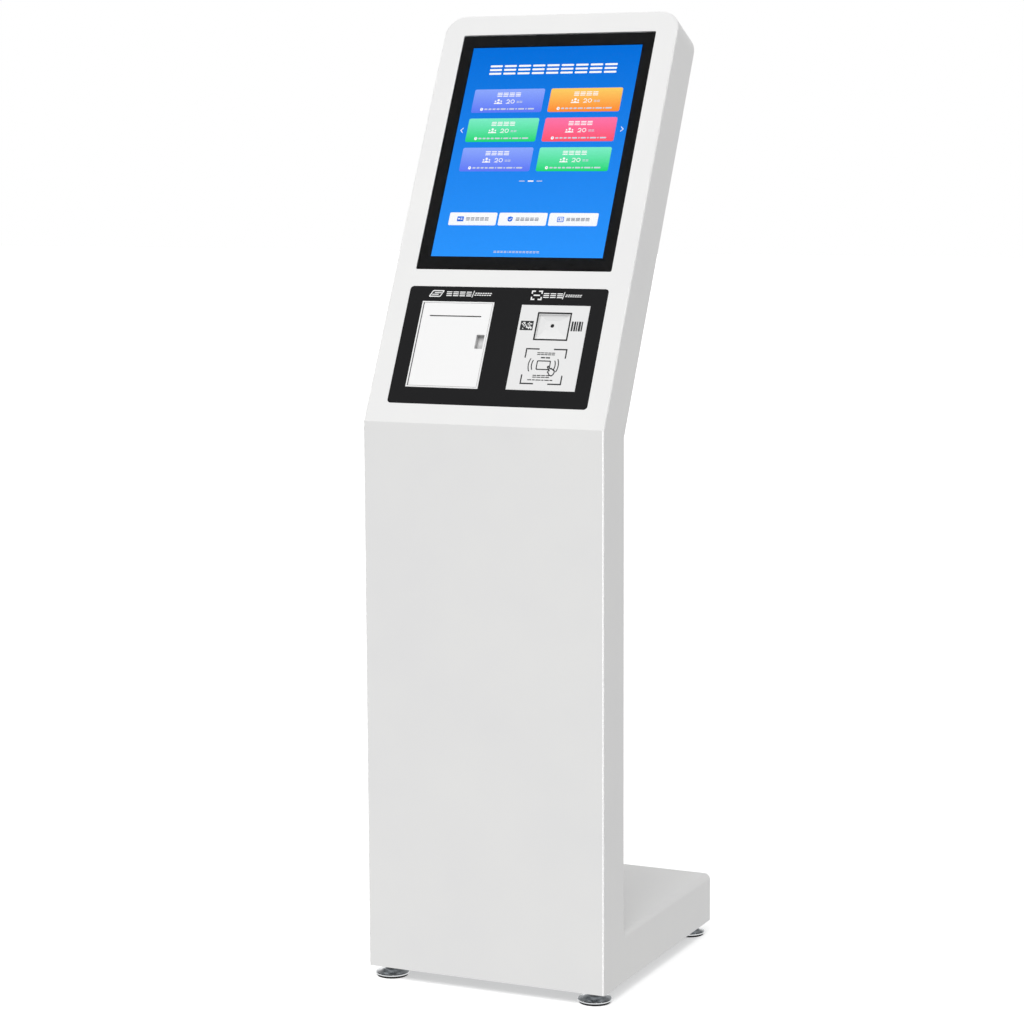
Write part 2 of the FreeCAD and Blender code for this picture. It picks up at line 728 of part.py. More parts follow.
def service_backplate():
    """Steel plate that carries the service panel, stepped to sit behind the head's front sheet."""
    outer_v = grown(PANEL_V, 11.0)
    plate = slab((-DISPLAY_FRAME_HALF, DISPLAY_FRAME_HALF), outer_v, (SHEET, PANEL + SHEET), 6)
    step = slab(
        grown((-PANEL_HALF, PANEL_HALF), FIT_GAP),
        grown(PANEL_V, FIT_GAP),
        (0, PANEL),
        PANEL_R + FIT_GAP,
    )
    printer = slab(grown(PRINTER_U, 6.5), grown(PRINTER_V, 6.5), (0, 9))
    scan_u = (SCAN_CENTRE[0] - 32, SCAN_CENTRE[0] + 32)
    scan = slab(scan_u, (SCAN_CENTRE[1] - 26, SCAN_CENTRE[1] + 26), (0, 9))
    card = slab((42, 130), (66, 138), (0, 9), 3)
    return to_head(plate.cut([step, printer, scan, card]))


def printer_bezel():
    """Fixed white rim round the printer door, with a flange behind the service panel."""
    rim = eased(slab(PRINTER_U, PRINTER_V, (0, 12)), 0.5)
    flange = slab(grown(PRINTER_U, 5.5), grown(PRINTER_V, 5.5), (PANEL, PANEL + SHEET))
    opening = slab(grown(PRINTER_U, -RIM), grown(PRINTER_V, -RIM), (-1, 13))
    x = printer_hinge_axis()
    bore = rod(DOOR_PIN_R, (x, DOOR_NOSE_R, PRINTER_V[0] - 1), (x, DOOR_NOSE_R, PRINTER_V[1] + 1))
    return to_head(fuse([rim, flange]).cut([opening, bore]))


def printer_door():
    """Door with the ticket slot, a moulded finger pull and stiffening ribs, hinged on its left."""
    u_range = grown(PRINTER_U, -RIM - DOOR_CLEAR)
    v_range = grown(PRINTER_V, -RIM - DOOR_CLEAR)
    x = printer_hinge_axis()
    face = slab((x, u_range[1]), v_range, (0, DOOR_FACE))
    nose = rod(DOOR_NOSE_R, (x, DOOR_NOSE_R, v_range[0]), (x, DOOR_NOSE_R, v_range[1]))
    rib_u = (x + 8, u_range[1] - 1.7)
    rib_v = grown(v_range, -3.0)
    ribs = slab(rib_u, rib_v, (DOOR_FACE, 8)).cut(slab(grown(rib_u, -1.5), grown(rib_v, -1.5), (0, 9)))
    cup = slab(grown(PULL_U, 1.4), grown(PULL_V, 1.4), (0, PULL_DEPTH + 1.4))
    pull = slab(PULL_U, PULL_V, (-1, PULL_DEPTH), 1)
    slot = slab(SLOT_U, (SLOT_V - SLOT_HEIGHT / 2, SLOT_V + SLOT_HEIGHT / 2), (-1, 10))
    bores = []
    for low, high in printer_door_pin_spans():
        bores.append(rod(DOOR_PIN_R + RUN, (x, DOOR_NOSE_R, low - 1), (x, DOOR_NOSE_R, high + 0.3)))
    return to_head(fuse([face, nose, ribs, cup]).cut([pull, slot] + bores))


# Thermal printer

def gear_wheel(teeth, centre, u_range, bore_r, phase):
    """Spur gear about an axis across the kiosk; phase turns one tooth's middle to that angle."""
    pressure = math.radians(20)
    pitch_r = MODULE * teeth / 2
    base_r = pitch_r * math.cos(pressure)
    tip_r = pitch_r + 0.8 * MODULE
    root_r = pitch_r - 1.1 * MODULE
    backlash = 0.06 / pitch_r
    steps = 5

    def half_angle(radius):
        alpha = math.acos(min(1.0, base_r / radius))
        involute = math.tan(alpha) - alpha
        return math.pi / (2 * teeth) - backlash + math.tan(pressure) - pressure - involute

    start_r = max(base_r, root_r)
    flank = [(root_r, half_angle(start_r))]
    for i in range(steps + 1):
        radius = start_r + (tip_r - start_r) * i / steps
        flank.append((radius, half_angle(radius)))
    points = []
    for tooth in range(teeth):
        middle = math.radians(phase) + 2 * math.pi * tooth / teeth
        rising = [(radius, middle - angle) for radius, angle in flank]
        falling = [(radius, middle + angle) for radius, angle in reversed(flank)]
        for radius, angle in rising + falling:
            y = centre[0] + radius * math.cos(angle)
            z = centre[1] + radius * math.sin(angle)
            points.append((u_range[0], y, z))
    wheel = prism(points, (u_range[1] - u_range[0], 0, 0))
    bore = rod(bore_r, (u_range[0] - 1, *centre), (u_range[1] + 1, *centre))
    return wheel.cut(bore)


def polar(centre, radius, angle):
    a = math.radians(angle)
    return (centre[0] + radius * math.cos(a), centre[1] + radius * math.sin(a))


PLATEN_AXIS = (PLATEN_Y, PLATEN_V)
IDLER_AXIS = polar(PLATEN_AXIS, MODULE * (PLATEN_TEETH + IDLER_TEETH) / 2, IDLER_ANGLE)
PINION_AXIS = polar(IDLER_AXIS, MODULE * (IDLER_TEETH + PINION_TEETH) / 2, PINION_ANGLE)
IDLER_PHASE = IDLER_ANGLE + 180 + 180 / IDLER_TEETH
IDLER_PITCH = 360 / IDLER_TEETH
PINION_OFFSET = (PINION_ANGLE - IDLER_PHASE) % IDLER_PITCH / IDLER_PITCH
PINION_PHASE = PINION_ANGLE + 180 + (0.5 + PINION_OFFSET) * 360 / PINION_TEETH


def printer_brackets():
    """Angles that hang the printer's frame on the steel plate behind the service panel."""
    pieces = []
    for low, high in ((76, 92), (190, 202)):
        for side, edge in ((-1, CHASSIS_U[0]), (1, CHASSIS_U[1])):
            reach = edge + side * BRACKET_REACH
            strip = sorted((edge - side * SIDE, reach))
            riser = sorted((reach - side * SIDE, reach))
            pieces.append(box(*strip, CHASSIS_Y[0], CHASSIS_Y[0] + SIDE, low, high))
            pieces.append(box(*riser, PANEL + SHEET, CHASSIS_Y[0] + SIDE, low, high))
    return pieces


def cutter_guides():
    """Grooved blocks at both ends of the moving blade."""
    front = BLADE_Y - 1.5
    groove = box(*grown(CUTTER_U, 0.3), BLADE_Y - 0.3, BLADE_Y + 1.3, 0, SPAN)
    blocks = []
    for side, edge in ((-1, CHASSIS_U[0]), (1, CHASSIS_U[1])):
        inner = CUTTER_U[0] + 2 if side < 0 else CUTTER_U[1] - 2
        span = sorted((edge, inner))
        block = box(*span, front, CHASSIS_Y[0] + SIDE, SLOT_V - 10, SLOT_V + 0.5)
        blocks.append(block.cut(groove))
    return blocks


def fixed_blade():
    """Fixed blade of the cutter, on an arm from the frame's top."""
    u_range = (CHASSIS_U[0] + SIDE, CHASSIS_U[1] - SIDE)
    blade = box(*u_range, 9.6, BLADE_Y - 0.3, SLOT_V + 0.9, SLOT_V + 12)
    arm = box(*u_range, BLADE_Y - 0.3, 34, SLOT_V + 10.5, SLOT_V + 12)
    return fuse([blade, arm])


def printer_chassis():
    """Side, back and top plates, brackets, cutter guides, the idler's stud and the fixed blade."""
    pieces = printer_brackets() + cutter_guides()
    for x in (CHASSIS_U[0], CHASSIS_U[1] - SIDE):
        side = slab((x, x + SIDE), CHASSIS_V, CHASSIS_Y)
        mouth = box(x - 1, x + SIDE + 1, 0, CHASSIS_Y[0] + 5, PLATEN_V - 8, PLATEN_V + 8)
        ear = box(x, x + SIDE, 10, CHASSIS_Y[0] + 6, PLATEN_V - 7, PLATEN_V + 7)
        pieces.append(side.cut(mouth).fuse(ear))
    pieces.append(box(*CHASSIS_U, CHASSIS_Y[1] - SIDE, CHASSIS_Y[1], *CHASSIS_V))
    pieces.append(box(*CHASSIS_U, 34, CHASSIS_Y[1], CHASSIS_V[1] - SIDE, CHASSIS_V[1]))
    frame = fuse(pieces)
    whole = (CHASSIS_U[0] - 1, CHASSIS_U[1] + 1)
    spindle_r = ROLL_CORE_R - RUN - 1.0
    tools = [
        rod(PLATEN_SHAFT_R + RUN, (whole[0], *PLATEN_AXIS), (whole[1], *PLATEN_AXIS)),
        rod(spindle_r, (whole[0], ROLL_Y, ROLL_V), (whole[1], ROLL_Y, ROLL_V)),
        rod(2.6, (CHASSIS_U[1] - 3, *PINION_AXIS), (whole[1], *PINION_AXIS)),
    ]
    idler_stud = rod(2.0, (CHASSIS_U[1] - 1, *IDLER_AXIS), (GEAR_U[1] + 0.6, *IDLER_AXIS))
    return to_head(group([fuse([frame.cut(tools), idler_stud]), fixed_blade()]))


def cutter_blade():
    """Moving blade, which shears the ticket upward past the fixed blade."""
    low = SLOT_V - 9.0
    high = SLOT_V - 1.0
    middle = (CUTTER_U[0] + CUTTER_U[1]) / 2
    points = [
        (CUTTER_U[0], BLADE_Y, low),
        (CUTTER_U[1], BLADE_Y, low),
        (CUTTER_U[1], BLADE_Y, high),
        (middle, BLADE_Y, high - 1.6),
        (CUTTER_U[0], BLADE_Y, high),
    ]
    return to_head(prism(points, (0, 1.0, 0)))


def print_head():
    u_range = (PAPER_U[0] - 3, PAPER_U[1] + 3)
    y = PAPER_Y + PAPER + 0.3
    plate = box(*u_range, y, y + 2.0, PLATEN_V - 9, PLATEN_V + 9)
    sink = box(*u_range, y + 2.0, y + 4.0, PLATEN_V - 9, PLATEN_V + 11)
    fins = [box(*u_range, y + 4.0, y + 6.4, z, z + 1.2) for z in (158.0, 162.0, 166.0, 170.0, 174.0)]
    ends = [
        box(CHASSIS_U[0] + SIDE, u_range[0], y, y + 4.0, PLATEN_V - 4, PLATEN_V + 4),
        box(u_range[1], CHASSIS_U[1] - SIDE, y, y + 4.0, PLATEN_V - 4, PLATEN_V + 4),
    ]
    return to_head(fuse([plate, sink] + fins + ends))


def platen_roller():
    """Steel shaft, rubber sleeve and drive gear of the platen."""
    shaft = rod(PLATEN_SHAFT_R, (CHASSIS_U[0] - 2, *PLATEN_AXIS), (GEAR_U[1] + 1, *PLATEN_AXIS))
    sleeve = ring(
        PLATEN_R,
        PLATEN_SHAFT_R,
        (PAPER_U[0] - 2, *PLATEN_AXIS),
        (PAPER_U[1] + 2, *PLATEN_AXIS),
    )
    wheel = gear_wheel(PLATEN_TEETH, PLATEN_AXIS, GEAR_U, PLATEN_SHAFT_R, IDLER_ANGLE)
    return to_head(group([shaft, sleeve, wheel]))


def idler_gear():
    return to_head(gear_wheel(IDLER_TEETH, IDLER_AXIS, GEAR_U, 2.0 + RUN, IDLER_PHASE))


def motor_pinion():
    wheel = gear_wheel(PINION_TEETH, PINION_AXIS, GEAR_U, 1.0, PINION_PHASE)
    shaft = rod(1.0, (-44, *PINION_AXIS), (GEAR_U[1] + 1, *PINION_AXIS))
    return to_head(group([wheel, shaft]))


def stepper_motor():
    body = rod(11, (-62, *PINION_AXIS), (CHASSIS_U[1] - SIDE - 1, *PINION_AXIS))
    boss = rod(2.6, (CHASSIS_U[1] - SIDE - 1, *PINION_AXIS), (CHASSIS_U[1] + 0.5, *PINION_AXIS))
    ears = box(
        CHASSIS_U[1] - SIDE - 1,
        CHASSIS_U[1] - SIDE,
        PINION_AXIS[0] - 16,
        PINION_AXIS[0] + 16,
        PINION_AXIS[1] - 4,
        PINION_AXIS[1] + 4,
    )
    bore = rod(1.0 + RUN, (-44.5, *PINION_AXIS), (CHASSIS_U[1] + 2, *PINION_AXIS))
    return to_head(fuse([body, boss, ears]).cut(bore))


def paper_roll():
    start = (PAPER_U[0], ROLL_Y, ROLL_V)
    end = (PAPER_U[1], ROLL_Y, ROLL_V)
    return to_head(ring(ROLL_R, ROLL_CORE_R, start, end))


def roll_spindle():
    """Rod through the roll's core, with a thinner end in each side plate."""
    axis = (ROLL_Y, ROLL_V)
    radius = ROLL_CORE_R - RUN
    thick = rod(radius, (CHASSIS_U[0] + SIDE, *axis), (CHASSIS_U[1] - SIDE, *axis))
    thin = rod(radius - 1.0, (CHASSIS_U[0] - 1, *axis), (CHASSIS_U[1] + 1, *axis))
    return to_head(fuse([thick, thin]))


def paper_web():
    """Paper from the roll up between platen and print head, and round towards the slot."""
    turn_r = 8.0
    top_v = SLOT_V - turn_r
    start_y = PAPER_Y
    edges = [
        Part.LineSegment(Vector(0, start_y, ROLL_V), Vector(0, start_y, top_v)).toShape(),
    ]
    middle = polar((start_y - turn_r, top_v), turn_r, 45)
    arc = Part.Arc(
        Vector(0, start_y, top_v),
        Vector(0, *middle),
        Vector(0, start_y - turn_r, SLOT_V),
    )
    edges.append(arc.toShape())
    end_y = start_y - turn_r - 1.2
    edges.append(Part.LineSegment(Vector(0, start_y - turn_r, SLOT_V), Vector(0, end_y, SLOT_V)).toShape())
    outer_r = turn_r + PAPER
    edges.append(Part.LineSegment(Vector(0, end_y, SLOT_V), Vector(0, end_y, SLOT_V + PAPER)).toShape())
    back = Vector(0, start_y - turn_r, SLOT_V + PAPER)
    edges.append(Part.LineSegment(Vector(0, end_y, SLOT_V + PAPER), back).toShape())
    outer_middle = polar((start_y - turn_r, top_v), outer_r, 45)
    outer_arc = Part.Arc(back, Vector(0, *outer_middle), Vector(0, start_y + PAPER, top_v))
    edges.append(outer_arc.toShape())
    low = Vector(0, start_y + PAPER, ROLL_V)
    edges.append(Part.LineSegment(Vector(0, start_y + PAPER, top_v), low).toShape())
    edges.append(Part.LineSegment(low, Vector(0, start_y, ROLL_V)).toShape())
    face = Part.Face(Part.Wire(edges))
    web = face.extrude(Vector(PAPER_U[1] - PAPER_U[0], 0, 0))
    web.translate(Vector(PAPER_U[0], 0, 0))
    return to_head(web)


def printer_board():
    """Printer controller on posts above the chassis, seen from above."""
    low = CHASSIS_V[1]
    pieces = [box(-128, -40, 38, 74, low + 4, low + 5.6)]
    for x, y in ((-124, 42), (-44, 42), (-124, 70), (-44, 70)):
        pieces.append(rod(2.5, (x, y, low), (x, y, low + 4)))
    for x0, x1, y0, y1, height in ((-110, -96, 48, 62, 3), (-84, -66, 44, 56, 5), (-56, -44, 50, 64, 8)):
        pieces.append(box(x0, x1, y0, y1, low + 5.6, low + 5.6 + height))
    return fuse(pieces)


# Scanner and card reader

def rectangle(centre, half, y):
    corners = [(-1, -1), (1, -1), (1, 1), (-1, 1)]
    points = [Vector(centre[0] + sx * half[0], y, centre[1] + sz * half[1]) for sx, sz in corners]
    return Part.makePolygon(points + points[:1])


def funnel_solid(front_half, back_half, y_front, y_back):
    back_centre = (SCAN_CENTRE[0] + FUNNEL_SHIFT[0], SCAN_CENTRE[1] + FUNNEL_SHIFT[1])
    front = rectangle(SCAN_CENTRE, front_half, y_front)
    back = rectangle(back_centre, back_half, y_back)
    return Part.makeLoft([front, back], True, True)


def scan_hole(half, y_range):
    u_range = (SCAN_CENTRE[0] - half[0], SCAN_CENTRE[0] + half[0])
    v_range = (SCAN_CENTRE[1] - half[1], SCAN_CENTRE[1] + half[1])
    return slab(u_range, v_range, y_range)


def reader_plate():
    plate = eased(slab(READER_U, READER_V, (0, PANEL)), 0.4)
    posts = [rod(2.5, (x, PANEL, z), (x, PANEL + 2.5, z)) for x in (50, 122) for z in (72, 132)]
    return to_head(fuse([plate] + posts).cut(scan_hole(SCAN_HALF, (-1, PANEL + 1))))


def scan_trim():
    """Dark rim of the scan window, set in the reader plate."""
    inner = (SCAN_HALF[0] - TRIM, SCAN_HALF[1] - TRIM)
    return to_head(scan_hole(SCAN_HALF, (0, PANEL)).cut(scan_hole(inner, (-1, PANEL + 1))))


def scan_funnel():
    """Light hollow pyramid behind the rim, closed at the back but for the lens hole."""
    wall = FUNNEL_WALL
    outer = (SCAN_HALF[0] - TRIM, SCAN_HALF[1] - TRIM)
    inner = (outer[0] - 0.8, outer[1] - 0.8)
    flange_half = (SCAN_HALF[0] + 2, SCAN_HALF[1] + 1.5)
    body_half = (outer[0] + wall, outer[1] + wall)
    back_outer = (FUNNEL_BACK_HALF[0] + wall, FUNNEL_BACK_HALF[1] + wall)
    sleeve = scan_hole(outer, (0.4, PANEL + 0.1)).cut(scan_hole(inner, (0, 9)))
    flange = scan_hole(flange_half, (PANEL, PANEL + wall))
    body = funnel_solid(body_half, back_outer, PANEL, FUNNEL_DEPTH)
    hollow = funnel_solid(inner, FUNNEL_BACK_HALF, PANEL - 0.01, FUNNEL_DEPTH - wall)
    x, z = SCAN_CENTRE[0] + FUNNEL_SHIFT[0], SCAN_CENTRE[1] + FUNNEL_SHIFT[1]
    lens = rod(LENS_R, (x, 0, z), (x, FUNNEL_DEPTH + 1, z))
    return to_head(fuse([flange, body]).cut([hollow, lens]).fuse(sleeve).removeSplitter())


def scanner_module():
    """Camera module on two legs that stand on the steel plate, with the glass of its window."""
    x, z = SCAN_CENTRE[0] + FUNNEL_SHIFT[0], SCAN_CENTRE[1] + FUNNEL_SHIFT[1]
    y = FUNNEL_DEPTH + 1.5
    body = slab((x - 18, x + 18), (z - 13, z + 13), (y, y + 20), 2)
    foot_y = PANEL + SHEET
    strap_u = (SCAN_CENTRE[0] - 38, SCAN_CENTRE[0] + 38)
    strap = slab(strap_u, (z - 8, z + 8), (y + 20, y + 21.5))
    legs = [slab((u, u + 1.5), (z - 8, z + 8), (foot_y, y + 21)) for u in (strap_u[0], strap_u[1] - 1.5)]
    half_u = FUNNEL_BACK_HALF[0] + 1.5
    half_v = FUNNEL_BACK_HALF[1] + 1.5
    window = slab((x - half_u, x + half_u), (z - half_v, z + half_v), (FUNNEL_DEPTH, y))
    return to_head(group([fuse([body, strap] + legs), window]))


def reader_board():
    """Contactless reader's antenna board behind the card symbol."""
    y = PANEL + 2.5
    pieces = [slab((46, 126), (68, 136), (y, y + 1.6), 2)]
    pieces.append(box(70, 96, y + 1.6, y + 4.6, 84, 104))
    pieces.append(box(100, 120, y + 1.6, y + 7.6, 74, 80))
    return fuse(pieces)


def circuit_boards():
    """All boards of the head: display driver, touch controller, printer and card reader."""
    return to_head(group(display_boards() + [printer_board(), reader_board()]))


# Equipment in the column and the base

def equipment_plate():
    """Mounting plate on two legs that are welded to the column's front."""
    plate = box(-150, 150, *PLATE_Y, 270, 720)
    legs = [box(x, x + SHEET, SHEET, PLATE_Y[0], 270, 720) for x in (-150, 150 - SHEET)]
    holes = [slab((-120, -80), (z, z + 8), (0, 20), 3.9) for z in (480, 500, 520)]
    return fuse([plate] + legs).cut(holes)


def computer_box():
    y = PLATE_Y[1]
    body = rounded(box(-65, 65, y, y + 45, *COMPUTER_Z), 4, "y")
    ribs = [box(-62 + 6 * i, -60 + 6 * i, y + 45, y + 48, *grown(COMPUTER_Z, -8)) for i in range(21)]
    top = COMPUTER_Z[1]
    ports = [box(-50, -36, y + 8, y + 18, top - 6, top + 1), box(30, 44, y + 8, y + 22, top - 6, top + 1)]
    sockets = [box(-49, -37, y + 9, y + 17, top - 5, top + 2), box(31, 43, y + 9, y + 21, top - 5, top + 2)]
    return fuse([body] + ribs + ports).cut(sockets)


def power_supply():
    y = PLATE_Y[1]
    low, high = SUPPLY_Z
    case = box(-55, 55, y, y + 38, low + 20, high)
    holes = []
    for row in range(4):
        for column in range(8):
            centre = (-42 + 12 * column, low + 60 + 20 * row)
            holes.append(rod(3, (centre[0], y + 36, centre[1]), (centre[0], y + 39, centre[1])))
    inside = box(-54, 54, y + 1, y + 37, low + 50, high - 1)
    shell = case.cut([inside] + holes)
    shelf = box(-55, 55, y, y + 1.5, low, low + 20)
    blocks = [box(-50 + 11 * i, -41 + 11 * i, y + 1.5, y + 16, low + 4, low + 20) for i in range(9)]
    return fuse([shell, shelf] + blocks)


def terminal_block():
    y = PLATE_Y[1]
    rail = box(-45, 45, y, y + 7, 495, 530)
    groove = box(-46, 46, y + 2, y + 8, 503, 522)
    clamps = [box(-40 + 12 * i, -29.5 + 12 * i, y + 7, y + 34, 492, 533) for i in range(6)]
    return group([rail.cut(groove), fuse([box(-40, 31, y + 7, y + 12, 492, 533)] + clamps)])


def c14_outline(half_u, half_v, chamfer, y, depth):
    """Six-sided mouth of a mains inlet: two corners are cut off."""
    x = INLET_X
    z = REAR_Z
    points = [
        (x - half_u, y, z - half_v),
        (x + half_u, y, z - half_v),
        (x + half_u, y, z + half_v - chamfer),
        (x + half_u - chamfer, y, z + half_v),
        (x - half_u + chamfer, y, z + half_v),
        (x - half_u, y, z + half_v - chamfer),
    ]
    return prism(points, (0, depth, 0))


def power_inlet():
    """Mains inlet with three pins, and the frame of the rocker switch, in one moulding."""
    panel_y = REAR_Y[1]
    flange = slab((INLET_X - 17, ROCKER_X + 14), (REAR_Z - 14, REAR_Z + 14), (panel_y, panel_y + 2.5), 3)
    body = box(INLET_X - 13.5, ROCKER_X + 10.5, panel_y - 22, panel_y, REAR_Z - 10.5, REAR_Z + 10.5)
    mouth = c14_outline(12.0, 8.0, 4.0, panel_y - 15, 30)
    switch = box(ROCKER_X - 7, ROCKER_X + 7, panel_y - 14, panel_y + 9, REAR_Z - 9.5, REAR_Z + 9.5)
    pins = []
    for dx, dz in ((-7.0, -2.0), (0.0, 2.0), (7.0, -2.0)):
        x_range = (INLET_X + dx - 1, INLET_X + dx + 1)
        pins.append(box(*x_range, panel_y - 15, panel_y - 1, REAR_Z + dz - 2, REAR_Z + dz + 2))
    axle = rod(1.0, (ROCKER_X - 7, panel_y - 5, REAR_Z), (ROCKER_X + 7, panel_y - 5, REAR_Z))
    housing = fuse([flange, body]).cut([mouth, switch])
    return group([fuse([housing, axle])] + pins)


def rocker_paddle():
    """Paddle of the rocker switch, tipped to one side; its face is a shallow V."""
    panel_y = REAR_Y[1]
    pivot = Vector(ROCKER_X, panel_y - 5, REAR_Z)
    points = [
        (ROCKER_X - 6.4, panel_y - 9, REAR_Z - 6),
        (ROCKER_X - 6.4, panel_y - 9, REAR_Z + 6),
        (ROCKER_X - 6.4, panel_y + 1.4, REAR_Z + 8),
        (ROCKER_X - 6.4, panel_y + 0.4, REAR_Z),
        (ROCKER_X - 6.4, panel_y + 1.4, REAR_Z - 8),
    ]
    paddle = prism(points, (12.8, 0, 0))
    bore = rod(1.0 + RUN, (ROCKER_X - 9, pivot.y, pivot.z), (ROCKER_X + 9, pivot.y, pivot.z))
    paddle = paddle.cut(bore)
    paddle.rotate(pivot, Vector(1, 0, 0), ROCKER_TILT)
    return paddle


def network_port():
    """Flange plate on the rear panel and the socket behind it."""
    panel_y = REAR_Y[1]
    flange = slab((PORT_X - 13, PORT_X + 13), (REAR_Z - 13, REAR_Z + 13), (panel_y, panel_y + 2), 2)
    body = box(PORT_X - 8.7, PORT_X + 8.7, panel_y - 26, panel_y, REAR_Z - 8.7, REAR_Z + 8.7)
    mouth = box(PORT_X - 5.9, PORT_X + 5.9, panel_y - 12, panel_y + 9, REAR_Z - 4, REAR_Z + 4)
    latch = box(PORT_X - 3, PORT_X + 3, panel_y - 10, panel_y + 9, REAR_Z + 3, REAR_Z + 6)
    return group([flange.cut([mouth, latch]), body.cut([mouth, latch])])


# Cables inside the cabinet

def rounded_path(points, largest):
    """Straight runs joined by tangent arcs, each as large as its two runs allow."""
    edges = []
    start = points[0]
    for before, corner, after in zip(points, points[1:], points[2:]):
        into = corner - before
        out = after - corner
        shorter = min(into.Length, out.Length)
        into.normalize()
        out.normalize()
        half_turn = into.getAngle(out) / 2
        radius = min(largest, 0.45 * shorter / math.tan(half_turn))
        print("cable bend radius %.1f" % radius)
        setback = radius * math.tan(half_turn)
        inward = out - into
        inward.normalize()
        first = corner - into * setback
        last = corner + out * setback
        middle = corner + inward * (radius / math.cos(half_turn) - radius)
        edges.append(Part.LineSegment(start, first).toShape())
        edges.append(Part.Arc(first, middle, last).toShape())
        start = last
    edges.append(Part.LineSegment(start, points[-1]).toShape())
    return Part.Wire(edges)


def cable(points, radius, largest):
    path = rounded_path(points, largest)
    run = points[1] - points[0]
    section = Part.Wire(Part.makeCircle(radius, points[0], run))
    tube = path.makePipeShell([section], True, False)
    expected = math.pi * radius * radius * path.Length
    print("cable length %.0f, volume ratio %.4f" % (path.Length, tube.Volume / expected))
    return tube


MAINS_ROUTE = [
    Vector(INLET_X, REAR_Y[1] - 22, REAR_Z - 4),
    Vector(INLET_X, 380, REAR_Z - 4),
    Vector(INLET_X, 300, 14),
    Vector(INLET_X, 170, 14),
    Vector(96, 40, 14),
    Vector(96, 30, 120),
    Vector(90, 30, 240),
    Vector(31.5, 20, 262),
    Vector(31.5, 20, SUPPLY_Z[0] + 4),
]
SIGNAL_ROUTE = [
    Vector(5, LEAD_Y, COMPUTER_Z[1]),
    Vector(5, LEAD_Y, BEND_HEIGHT - LEAD_Y * math.tan(math.radians(TILT / 2))),
    head_point(5, LEAD_Y, SCREEN_V + BRACKET_V[0] - 16),
]
PRINTER_ROUTE = [
    Vector(-20, LEAD_Y, COMPUTER_Z[1]),
    Vector(-20, LEAD_Y, 760),
    Vector(-8, 45, 830),
    head_point(-8, 52, 40),
    head_point(-8, 56, 170),
    head_point(-14, 57, 213),
    head_point(-44, 57, 213),
]


def internal_cables():
    """Mains lead to the power supply, and the computer's leads to the display and the printer."""
    mains = cable(MAINS_ROUTE, CABLE_R, 40)
    signal = cable(SIGNAL_ROUTE, CABLE_R, 60)
    printer = cable(PRINTER_ROUTE, CABLE_R - 0.5, 30)
    return group([mains, signal, printer])


def clip_between(route, index, share, radius, anchor, size):
    """Block that clips a straight run of cable to the wall at the anchor plane."""
    point = route[index] + (route[index + 1] - route[index]) * share
    along = route[index + 1] - route[index]
    along.normalize()
    start = point - along * size
    end = point + along * size
    hole = rod(radius + 0.1, tuple(start - along * 9), tuple(end + along * 9))
    shell = rod(radius + 2.0, tuple(start), tuple(end))
    axis, level = anchor
    low = [min(start[k], end[k]) for k in range(3)]
    high = [max(start[k], end[k]) for k in range(3)]
    for k in range(3):
        if k == axis:
            low[k] = min(level, point[k])
            high[k] = max(level, point[k])
        elif high[k] - low[k] < size:
            low[k] = point[k] - radius - 2
            high[k] = point[k] + radius + 2
    foot_block = box(low[0], high[0], low[1], high[1], low[2], high[2])
    return fuse([shell, foot_block]).cut(hole)


def cable_clips():
    clips = [clip_between(MAINS_ROUTE, 2, 0.5, CABLE_R, (2, FLOOR), 5)]
    clips.append(clip_between(MAINS_ROUTE, 5, 0.3, CABLE_R, (1, SHEET), 5))
    for share in (0.35, 0.75):
        clips.append(clip_between(SIGNAL_ROUTE, 0, share, CABLE_R, (1, SHEET), 5))
    return group(clips)


def cabinet_screws():
    """Screws of the hinge leaves, the rear panel and the equipment, all on the cabinet."""
    solids = []
    for z in COLUMN_HINGES_Z:
        for dz in (-22.0, -8.0):
            solids.append(screw_head(HINGE_X + 8.5, z + dz, 2.8))
    for v in HEAD_HINGES_V:
        for dv in (-22.0, -8.0):
            solids.append(to_head(screw_head(HINGE_X + 8.5, v + dv, 2.8)))
    rear_y = REAR_Y[1]
    for x in (-190, -95, 0, 95, 190):
        for z in (12, 70):
            solids.append(rod(3.5, (x, rear_y, z), (x, rear_y + 2, z)))
    for x in (-140, 140):
        for z in (290, 500, 700):
            solids.append(hexagon(8.0, (x, PLATE_Y[1], z), 4.0, "y"))
    return group(solids)


FOOT_NAMES = ("foot_front_left", "foot_front_right", "foot_rear_left", "foot_rear_right")

